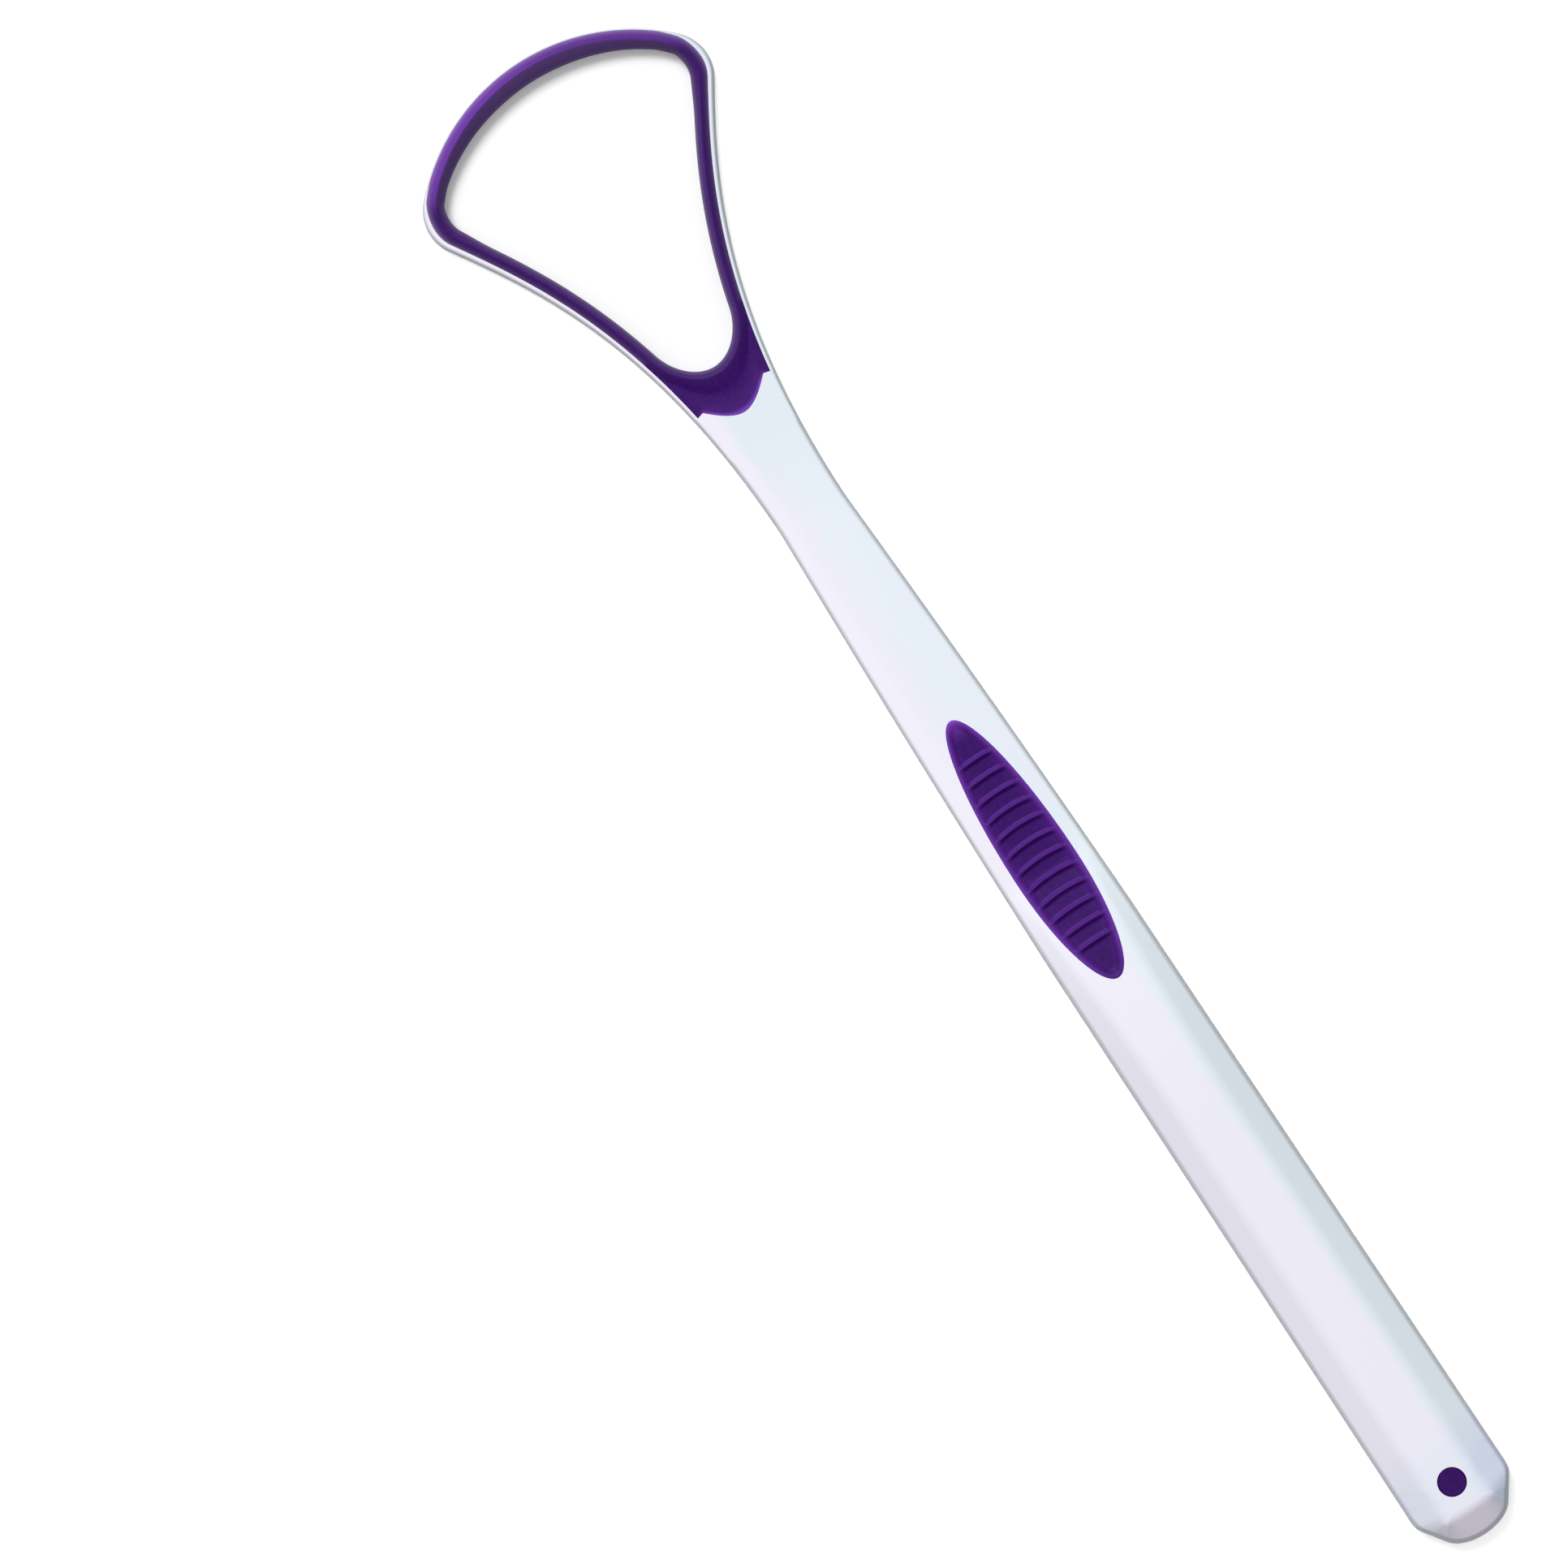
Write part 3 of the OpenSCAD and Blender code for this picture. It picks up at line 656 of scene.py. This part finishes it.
def lip_tones(st, points, side):
    """How much painted highlight, with the paler violet at the pad's end edge, and how much painted
    reflection lie at each point of a lip section. side is 1 or -1 for the half at positive or negative
    y."""
    opening, out, pad, _, t = st
    crest_in = np.linalg.norm(pad - opening) - CREST_OUT
    # Painted highlight on the far arc's outer slope, which faces the key, weaker on the half away from
    # it, and a paler violet along the pad's end edge; painted reflection along the inner and outer
    # edges and on the far arc's inner slope, which lies in shade
    far = 1 - ease((t - FAR_FADE_AT) / FAR_FADE)
    away = ease(0.5 + side * pad[1] / FAR_HIGHLIGHT_SPAN / 2)
    far_highlight = far * mix(FAR_HIGHLIGHT, FAR_HIGHLIGHT_AWAY, away)
    end = PAD_EDGE_PALE * ease((t - 3 - BARB_SHARE) * PAD_GROW)
    outer_reflection = mix(OUTER_REFLECTION, OUTER_REFLECTION_ARM, ease(t - REFLECTION_FADE_AT)) if t < 3 else 0
    thin_and_highlight, painted_reflection = [], []
    for p in points:
        from_opening = float(np.dot(p[:2] - opening, out))
        from_edge = float(np.linalg.norm(p[:2] - pad))
        outer_slope = ease((from_opening - crest_in + CREST_LEAD) / CREST_FADE)
        thin_and_highlight.append(min(1, max(far_highlight * outer_slope, end * math.exp(-from_edge / PAD_REACH))))
        painted_reflection.append(max(INNER_REFLECTION * math.exp(-max(0, from_opening) / INNER_REACH),
                        outer_reflection * math.exp(-from_edge / OUTER_REACH),
                        SLOPE_REFLECTION * far * (1 - outer_slope)))
    return thin_and_highlight, painted_reflection


def make_lip():
    """The soft ring and pad in one closed run of sections."""
    stations = loop_stations()
    sections = [lip_section(st) for st in stations]
    tones = [lip_tones(st, s, side) for side in (1, -1) for st, s in zip(stations, sections)]
    points = [p for s in sections for p in s]
    thin_and_highlight, painted_reflection = ([v for tone in tones for v in tone[i]] for i in (0, 1))
    faces = grid_faces(0, len(sections), len(sections[0]), True)
    return make_mesh("lip_ridge", points, faces, sharp=50, layers={"thin_and_highlight": thin_and_highlight, "painted_reflection": painted_reflection})


FIRST_RIB = GRIP_X - RIB_LEAD


def rib_place(x):
    """Distance behind the nearest rib's crest, as a share of the rib's half on that side."""
    nearest = min(RIB_N - 1, max(0, round((x - FIRST_RIB) / RIB_PITCH)))
    off = x - FIRST_RIB - nearest * RIB_PITCH
    return off / (RIB_FRONT_W if off < 0 else RIB_REAR_W)


def grip_bow(x):
    """How far a rib's ends lie behind its middle, less towards the grip's own ends."""
    return RIB_BOW * ease(min(x - GRIP_LOW[0], GRIP_HIGH[0] - x) / (2 * GRIP_W))


def grip_point(x, y, half):
    """Top of the grip, with its raised border, sunk field and bowed ribs, and how much painted
    highlight lies there.
    """
    px = x + grip_bow(x) * (y / half) ** 2
    a = (GRIP_FRONT if px < GRIP_X else GRIP_REAR) - BOND_GAP
    b = GRIP_W / 2 - BOND_GAP
    fx, fy = (px - GRIP_X) / a, y / b
    level = math.hypot(fx, fy)
    slope = math.hypot(fx / a, fy / b) / max(level, TINY)
    inside = (1 - level) / max(slope, TINY)
    field = ease((inside - BORDER_EDGE) / BORDER_FALL)
    skirt = math.sqrt(clamp(1 - (1 - clamp(inside / BORDER_EDGE)) ** 2))
    place = rib_place(x)
    rib = 0.5 + 0.5 * math.cos(math.pi * min(1, abs(place)))
    up = mix(BORDER_H * skirt, RIB_H * rib - FIELD_D, field)
    # Painted highlight: strongest at the front tip, along the border's sides and less towards the rear,
    # and on each rib's front slope, all on the sides towards the key
    tip = clamp(1 - (px - GRIP_LOW[0]) / TIP_LEN)
    rear = clamp((px - GRIP_HIGH[0] + TIP_LEN) / TIP_LEN)
    side = SIDE_HIGHLIGHT * math.exp(-inside / SIDE_REACH) * mix(1, REAR_SHARE, rear)
    ridge = RIB_HIGHLIGHT * field * ease((RIB_GLOW_W - abs(place + RIB_GLOW_AT)) / RIB_GLOW_SOFT)
    glow = max(side, TIP_HIGHLIGHT * tip ** TIP_POWER)
    return np.array([px, y, top_z(px) + up]), max(glow, ridge)


# Length of the grip's closely stepped ends, and how its points crowd towards its sides
GRIP_TIP = 2.2
SPREAD_POWER = 0.9


def make_grip():
    """Lens of rows across the handle, each closed round its floor."""
    b = GRIP_W / 2 - BOND_GAP
    spread = np.sin(np.linspace(-math.pi / 2, math.pi / 2, GRIP_N))
    spread = np.sign(spread) * np.abs(spread) ** SPREAD_POWER
    fan = GRIP_TIP * (1 - np.cos(np.linspace(0, math.pi / 2, TIP_N)))[1:-1]
    inner = np.arange(GRIP_LOW[0] + GRIP_TIP, GRIP_HIGH[0] - GRIP_TIP, GRIP_STEP)
    xs = np.concatenate([GRIP_LOW[0] + fan, inner, GRIP_HIGH[0] - fan[::-1]])
    rows, thin_and_highlight = [], []
    floor = GRIP_FLOOR + BOND_GAP
    for x in xs:
        edge_x = x + grip_bow(x)
        s = (edge_x - GRIP_X) / ((GRIP_FRONT if edge_x < GRIP_X else GRIP_REAR) - BOND_GAP)
        half = b * math.sqrt(max(TINY, 1 - s * s))
        made = [grip_point(x, half * q, half) for q in spread]
        top = [p for p, _ in made]
        rows.append([at(top[0], floor)] + top + [at(top[-1], floor)])
        thin_and_highlight += [0] + [v for _, v in made] + [0]
    cols = len(rows[0])
    points = [p for row in rows for p in row]
    faces = grid_faces(0, len(rows), cols, True)
    faces += [tuple(range(cols)), tuple(reversed(range(len(points) - cols, len(points))))]
    return make_mesh("grip_pad", points, faces, sharp=60, mirror=False, layers={"thin_and_highlight": thin_and_highlight})


# How far the plug's face sinks in its middle and near its edge, and its corners' roundings
PLUG_DISH = 0.05
PLUG_DISH_EDGE = 0.03
PLUG_RADII = [0, 0.15, 0.08, 0.1, 0.1, 0]


def make_plug():
    """A turned disc: face a little hollow, chamfered edge, wall and floor."""
    r, top = PLUG_R - BOND_GAP, PLUG_HIGH[2]
    floor = PLUG_FLOOR + BOND_GAP
    corners = [plan(0, top - PLUG_DISH), plan(r - PLUG_CHAMFER * 2, top - PLUG_DISH_EDGE),
               plan(r - PLUG_CHAMFER, top), plan(r, top - PLUG_CHAMFER), plan(r, floor), plan(0, floor)]
    profile = rounded(corners, PLUG_RADII)
    points = []
    for i in range(PLUG_N):
        angle = 2 * math.pi * i / PLUG_N
        points += [at(plan(PLUG_X + x * math.cos(angle), x * math.sin(angle)), z) for x, z in profile]
    cols = len(profile)
    faces = grid_faces(0, PLUG_N, cols, False)
    last = (PLUG_N - 1) * cols
    faces += [(last + c, last + c + 1, c + 1, c) for c in range(cols - 1)]
    return make_mesh("plug_disc", points, faces, sharp=50, mirror=False)


def linear(c):
    """Linear light of a display level of 0 to 1, by the display standard's curve."""
    return c / 12.92 if c <= 0.04 else ((c + 0.055) / 1.055) ** 2.4


def srgb(r, g, b):
    """Linear colour from a display colour of 0 to 255."""
    return tuple(linear(c / 255) for c in (r, g, b)) + (1,)


def node(tree, kind, **values):
    made = tree.nodes.new(kind)
    for key, value in values.items():
        if key in made.inputs:
            made.inputs[key].default_value = value
        else:
            setattr(made, key, value)
    return made


def noise(tree, scale, detail=3.0, roughness=0.5):
    """Noise in the part's own coordinates, in metres."""
    place = node(tree, "ShaderNodeTexCoord")
    made = node(tree, "ShaderNodeTexNoise")
    made.inputs["Scale"].default_value = scale
    made.inputs["Detail"].default_value = detail
    made.inputs["Roughness"].default_value = roughness
    tree.links.new(place.outputs["Object"], made.inputs["Vector"])
    return made


def ramp(tree, source, stops):
    made = node(tree, "ShaderNodeValToRGB")
    elements = made.color_ramp.elements
    while len(elements) < len(stops):
        elements.new(0.5)
    for element, (place, colour) in zip(elements, stops):
        element.position, element.color = place, colour
    tree.links.new(source, made.inputs["Fac"])
    return made


def grey(level):
    return (level, level, level, 1)


def new_material(name):
    material = bpy.data.materials.new(name)
    material.use_nodes = True
    return material, material.node_tree, material.node_tree.nodes["Principled BSDF"]


# The noises run from about the first to the second of these values
NOISE_LOW, NOISE_HIGH = 0.3, 0.7


def roughen(tree, shader, grain, levels):
    """Roughness that follows a grain, from the first level to the second."""
    stops = [(NOISE_LOW, grey(levels[0])), (NOISE_HIGH, grey(levels[1]))]
    gloss = ramp(tree, grain.outputs["Fac"], stops)
    tree.links.new(gloss.outputs["Color"], shader.inputs["Roughness"])


def add_bump(tree, shader, grain, strength, height):
    """Bump of a grain, its height in millimetres."""
    bump = node(tree, "ShaderNodeBump")
    bump.inputs["Strength"].default_value = strength
    bump.inputs["Distance"].default_value = height * MM
    tree.links.new(grain.outputs["Fac"], bump.inputs["Height"])
    tree.links.new(bump.outputs["Normal"], shader.inputs["Normal"])


# Grain of the white plastic, and mottle and skin of the soft parts, as noise scales per metre, with
# the roughness between which each grain runs
PLASTIC_GRAIN = 2600
PLASTIC_ROUGH = (0.34, 0.42)
RUBBER_MOTTLE = 1800
RUBBER_SKIN = 3800
RUBBER_ROUGH = (0.38, 0.48)
# Display colours of the soft parts: the mottle's dark and pale, the painted violet highlight (also the
# paler violet of the pad's end edge), the painted reflection on the edges and the inner slope, and the
# sheen
RUBBER_DARK = (47, 8, 85)
RUBBER_PALE = (61, 14, 108)
RUBBER_THIN_HIGHLIGHT = (138, 70, 205)
RUBBER_REFLECTION = (165, 138, 190)
RUBBER_SHEEN = (150, 110, 220)
# The plug's mottle is a little darker than the others', by this share
PLUG_LIGHT = 0.94

# White tints across the handle with painted shade and light, from y = -TONE_SPAN to TONE_SPAN, on the
# neck, the handle's front and back half, its end and the end's facet: darker and cooler towards +y,
# away from the key, darker on the neck, and lighter on the end's facet, which faces away from the key.
# Between the given lengths one runs into the next
TONE_SPAN = 6
NECK_TINT_AND_SHADE = [(-3.5, (236, 233, 244)), (-2, (222, 231, 238)), (3, (222, 231, 238))]
FRONT_TINT_AND_SHADE = [(-3.5, (239, 237, 247)), (-1.5, (234, 234, 243)),
               (0.5, (229, 236, 243)), (3.5, (228, 235, 243))]
BACK_TINT_AND_SHADE = [(-4, (236, 234, 245)), (1.6, (236, 234, 245)), (3.2, (226, 235, 242))]
END_TINT_AND_SHADE = [(-4, (226, 230, 242)), (-1.6, (229, 234, 243)),
             (1.6, (229, 234, 243)), (3.2, (218, 225, 243))]
FACET_TINT_AND_LIGHT = [(-3.6, (236, 236, 250)), (-2.4, (246, 241, 255)),
               (2.4, (246, 241, 255)), (3.6, (228, 234, 253))]
TONE_RUNS = [(50, 62), (100, 128), (186, 192), (195.3, 197)]
# How far the tones wander sideways in millimetres, and the noise that they wander by
TONE_DRIFT = 1.2
DRIFT_SCALE = 40
DRIFT_DETAIL = 2.5


def place_share(tree, output, low, high):
    """0 to 1 as one of the part's coordinates runs from low to high, in millimetres."""
    made = node(tree, "ShaderNodeMapRange")
    made.inputs["From Min"].default_value = low * MM
    made.inputs["From Max"].default_value = high * MM
    tree.links.new(output, made.inputs["Value"])
    return made.outputs["Result"]


def blend_by(tree, share, a, b):
    made = node(tree, "ShaderNodeMix", data_type="RGBA")
    tree.links.new(share, made.inputs["Factor"])
    tree.links.new(a, made.inputs["A"])
    tree.links.new(b, made.inputs["B"])
    return made.outputs["Result"]


def multiply_add(tree, value, factor, base):
    made = node(tree, "ShaderNodeMath", operation="MULTIPLY_ADD")
    made.inputs[1].default_value = factor
    tree.links.new(value, made.inputs[0])
    tree.links.new(base, made.inputs[2])
    return made.outputs[0]


def tone_across(tree, across, tones):
    """White tint with its painted shade by the place across the handle, where 0 to 1 is -TONE_SPAN to
    TONE_SPAN.
    """
    stops = [(0.5 + y / TONE_SPAN / 2, srgb(*colour)) for y, colour in tones]
    return ramp(tree, across, stops).outputs["Color"]


def white_plastic():
    """Smooth moulded plastic: a faint drift between cool and rosy white across and along the handle,
    with painted shade darker towards +y and on the neck and painted light on the end's facet, and a
    fine satin grain."""
    material, tree, shader = new_material("white_plastic")
    place = node(tree, "ShaderNodeTexCoord")
    split = node(tree, "ShaderNodeSeparateXYZ")
    tree.links.new(place.outputs["Object"], split.inputs[0])
    drift = noise(tree, DRIFT_SCALE, DRIFT_DETAIL)
    wavy = multiply_add(tree, drift.outputs["Fac"], TONE_DRIFT * MM, split.outputs["Y"])
    shift = TONE_DRIFT / 2
    across = place_share(tree, wavy, shift - TONE_SPAN, shift + TONE_SPAN)
    # Painted shade and light in the white: one tint across the handle after another along it
    tone, *later = (tone_across(tree, across, tones)
                    for tones in (NECK_TINT_AND_SHADE, FRONT_TINT_AND_SHADE, BACK_TINT_AND_SHADE, END_TINT_AND_SHADE, FACET_TINT_AND_LIGHT))
    for (low, high), following in zip(TONE_RUNS, later):
        run = place_share(tree, split.outputs["X"], low - HALF_LEN, high - HALF_LEN)
        tone = blend_by(tree, run, tone, following)
    tree.links.new(tone, shader.inputs["Base Color"])
    grain = noise(tree, PLASTIC_GRAIN, detail=4)
    roughen(tree, shader, grain, PLASTIC_ROUGH)
    shader.inputs["Specular IOR Level"].default_value = 0.12
    add_bump(tree, shader, grain, strength=0.05, height=0.03)
    return material


def purple_rubber(name, light=1.0):
    """Soft moulded elastomer: satin, with a slight mottle and a fine skin, a painted violet highlight
    towards the light and a paler painted reflection, laid on by point attributes. The mottle's colours
    are multiplied by light."""
    material, tree, shader = new_material(name)
    mottle = noise(tree, RUBBER_MOTTLE, detail=4, roughness=0.7)
    dark, pale = (srgb(*(c * light for c in colour)) for colour in (RUBBER_DARK, RUBBER_PALE))
    tone = ramp(tree, mottle.outputs["Fac"], [(NOISE_LOW, dark), (NOISE_HIGH, pale)]).outputs["Color"]
    # Blend in the painted violet highlight and the painted reflection that the point attributes carry
    for layer, colour in (("thin_and_highlight", RUBBER_THIN_HIGHLIGHT), ("painted_reflection", RUBBER_REFLECTION)):
        amount = node(tree, "ShaderNodeAttribute", attribute_name=layer)
        blend = node(tree, "ShaderNodeMix", data_type="RGBA")
        blend.inputs["B"].default_value = srgb(*colour)
        tree.links.new(amount.outputs["Fac"], blend.inputs["Factor"])
        tree.links.new(tone, blend.inputs["A"])
        tone = blend.outputs["Result"]
    tree.links.new(tone, shader.inputs["Base Color"])
    skin = noise(tree, RUBBER_SKIN)
    roughen(tree, shader, skin, RUBBER_ROUGH)
    shader.inputs["Specular IOR Level"].default_value = 0.08
    shader.inputs["Sheen Weight"].default_value = 0.02
    shader.inputs["Sheen Roughness"].default_value = 0.4
    shader.inputs["Sheen Tint"].default_value = srgb(*RUBBER_SHEEN)
    add_bump(tree, shader, skin, strength=0.12, height=0.04)
    return material


def seen_ray(tree):
    """1 for the rays that show the background: those of the camera, of gloss and through glass."""
    path = node(tree, "ShaderNodeLightPath")
    total = path.outputs["Is Camera Ray"]
    for kind in ("Is Glossy Ray", "Is Transmission Ray"):
        more = node(tree, "ShaderNodeMath", operation="MAXIMUM")
        tree.links.new(total, more.inputs[0])
        tree.links.new(path.outputs[kind], more.inputs[1])
        total = more.outputs[0]
    return total


def pick_shader(tree, unseen, seen, target):
    """Links the seen shader for rays that show the background, and the unseen one for the rest."""
    pick = node(tree, "ShaderNodeMixShader")
    tree.links.new(seen_ray(tree), pick.inputs["Fac"])
    tree.links.new(unseen.outputs[0], pick.inputs[1])
    tree.links.new(seen.outputs[0], pick.inputs[2])
    tree.links.new(pick.outputs[0], target.inputs["Surface"])


# How pale the paper is for the rays that show it and for the rest, and how much it glows in the loop
# and outside
PAPER_SEEN = 0.9
PAPER_UNSEEN = 0.1
GLOW_INSIDE = 0.08
GLOW_OUTSIDE = 0.55


def floor_material(name, glow_strength):
    """Pale paper that keeps the shadow. The camera and gloss see it white, with a glow that softens
    the shadow, and it throws back less light than that onto the object's sides."""
    material, tree, shader = new_material(name)
    shader.inputs["Base Color"].default_value = grey(PAPER_UNSEEN)
    shader.inputs["Roughness"].default_value = 0.9
    shader.inputs["Specular IOR Level"].default_value = 0.0
    lit = node(tree, "ShaderNodeBsdfDiffuse", Color=grey(PAPER_SEEN))
    glow = node(tree, "ShaderNodeEmission", Strength=glow_strength)
    shown = node(tree, "ShaderNodeAddShader")
    tree.links.new(lit.outputs[0], shown.inputs[0])
    tree.links.new(glow.outputs[0], shown.inputs[1])
    pick_shader(tree, shader, shown, tree.nodes["Material Output"])
    return material


def dress(piece, material, cad_node):
    """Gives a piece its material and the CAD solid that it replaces."""
    piece.data.materials.append(material)
    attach(piece, "root")
    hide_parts(cad_node)


# Radius of the paper in metres, and how far it lies under the object in millimetres
FLOOR_R = 1.5
FLOOR_GAP = 0.05


def make_floor():
    """Round paper. Its part inside the loop keeps a full shadow, as in the photograph, and the rest
    a faint one. The line between them lies under the loop's bar."""
    side = [mix(st[0], st[3], 0.5) for st in loop_stations()]
    ring = [p * [1, -1] for p in side[:0:-1]] + side
    middle = plan(CORNER_X, 0)
    inner = [((p[0] - HALF_LEN) * MM, p[1] * MM, 0) for p in ring]
    away = [unit(p - middle) * FLOOR_R for p in ring]
    count = len(ring)
    faces = [tuple(range(count))]
    faces += [(i, i + count, (i + 1) % count + count, (i + 1) % count) for i in range(count)]
    mesh = bpy.data.meshes.new("paper")
    mesh.from_pydata(inner + [(x, y, 0) for x, y in away], [], faces)
    floor = bpy.data.objects.new("paper", mesh)
    floor.location.z = -FLOOR_GAP * MM
    bpy.context.scene.collection.objects.link(floor)
    mesh.materials.append(floor_material("paper_inside", GLOW_INSIDE))
    mesh.materials.append(floor_material("paper_outside", GLOW_OUTSIDE))
    for face in mesh.polygons[1:]:
        face.material_index = 1


# The key lamp: direction to it, distance and size in metres, and power in watts
KEY_DIRECTION = (-0.58, -0.03, 0.81)
KEY_DISTANCE = 2.4
KEY_SIZE = 1.0
KEY_POWER = 43
# Light of the room by height from the level of the paper to straight above, across from one side to
# the other, and along it to the side of the handle's end: the place from 0 to 1 and the light there
ROOM_HEIGHT = [(0.0, 0.01), (0.5, 0.15), (0.8, 0.5), (1.0, 1.05)]
ROOM_SIDE = [(0.0, (1.13, 1.09, 1.12, 1)), (1.0, (0.87, 0.91, 0.91, 1))]
ROOM_BEHIND = [(0.88, 1.0), (1.0, 0.08)]


def add_key():
    light = bpy.data.lights.new("key", "AREA")
    light.shape = "SQUARE"
    light.size = KEY_SIZE
    light.energy = KEY_POWER
    lamp = bpy.data.objects.new("key", light)
    lamp.location = Vector(KEY_DIRECTION).normalized() * KEY_DISTANCE
    lamp.rotation_mode = "QUATERNION"
    lamp.rotation_quaternion = Vector(KEY_DIRECTION).to_track_quat("Z", "Y")
    bpy.context.scene.collection.objects.link(lamp)


def axis_share(tree, output):
    """0 to 1 across the room for one of its directions of -1 to 1."""
    made = node(tree, "ShaderNodeMapRange")
    made.inputs["From Min"].default_value = -1.0
    tree.links.new(output, made.inputs["Value"])
    return made.outputs["Result"]


def product(tree, a, b):
    made = node(tree, "ShaderNodeMix", data_type="RGBA", blend_type="MULTIPLY")
    made.inputs["Factor"].default_value = 1.0
    tree.links.new(a, made.inputs["A"])
    tree.links.new(b, made.inputs["B"])
    return made.outputs["Result"]


def grey_stops(levels):
    return [(place, grey(level)) for place, level in levels]


def add_lights():
    """One soft key from the loop's side, and a room that is bright above and dim at its foot and
    behind the handle's end, cool to one side and rosy to the other."""
    add_key()
    world = bpy.data.worlds.new("studio")
    bpy.context.scene.world = world
    world.use_nodes = True
    tree = world.node_tree
    place = node(tree, "ShaderNodeTexCoord")
    split = node(tree, "ShaderNodeSeparateXYZ")
    tree.links.new(place.outputs["Generated"], split.inputs[0])
    height = ramp(tree, split.outputs["Z"], grey_stops(ROOM_HEIGHT))
    side = ramp(tree, axis_share(tree, split.outputs["Y"]), ROOM_SIDE)
    behind = ramp(tree, axis_share(tree, split.outputs["X"]), grey_stops(ROOM_BEHIND))
    fill = tree.nodes["Background"]
    room = product(tree, height.outputs["Color"], side.outputs["Color"])
    tree.links.new(product(tree, room, behind.outputs["Color"]), fill.inputs["Color"])
    shown = node(tree, "ShaderNodeBackground", Strength=1.0)
    pick_shader(tree, fill, shown, tree.nodes["World Output"])


# The photograph: its size, and the scraper's far edge and end in it, in its own pixels
PHOTO_SIZE = 1932
PHOTO_APEX = plan(634.8, 78.1)
PHOTO_END = plan(1830.6, 1889.7)
# The camera's height in metres above the outline's widest line, and that line's in millimetres
CAMERA_HEIGHT = 2.4
OUTLINE_Z = 1.2
SENSOR = 36


def add_camera():
    """Looks straight down, turned and placed so that the far edge and the end of the scraper lie
    where the photograph has them."""
    span = PHOTO_END - PHOTO_APEX
    scale = TOTAL_LEN * MM / np.linalg.norm(span)
    angle = math.atan2(span[1], span[0])
    right = plan(math.cos(angle), math.sin(angle))
    up = plan(-math.sin(angle), math.cos(angle))
    off = (PHOTO_APEX + PHOTO_END) / 2 - PHOTO_SIZE / 2
    place = -off[0] * scale * right + off[1] * scale * up
    data = bpy.data.cameras.new("camera")
    data.sensor_width = SENSOR
    data.lens = SENSOR * CAMERA_HEIGHT / (PHOTO_SIZE * scale)
    camera = bpy.data.objects.new("camera", data)
    camera.location = (place[0], place[1], CAMERA_HEIGHT + OUTLINE_Z * MM)
    camera.rotation_euler = (0, 0, angle)
    bpy.context.scene.collection.objects.link(camera)
    bpy.context.scene.camera = camera


add_camera()
dress(make_frame(), white_plastic(), "handle_frame")
dress(make_lip(), purple_rubber("purple_lip"), "scraper_lip")
dress(make_grip(), purple_rubber("purple_grip"), "thumb_grip")
dress(make_plug(), purple_rubber("purple_plug", PLUG_LIGHT), "end_plug")
make_floor()
add_lights()
bpy.context.scene.view_settings.view_transform = "Standard"
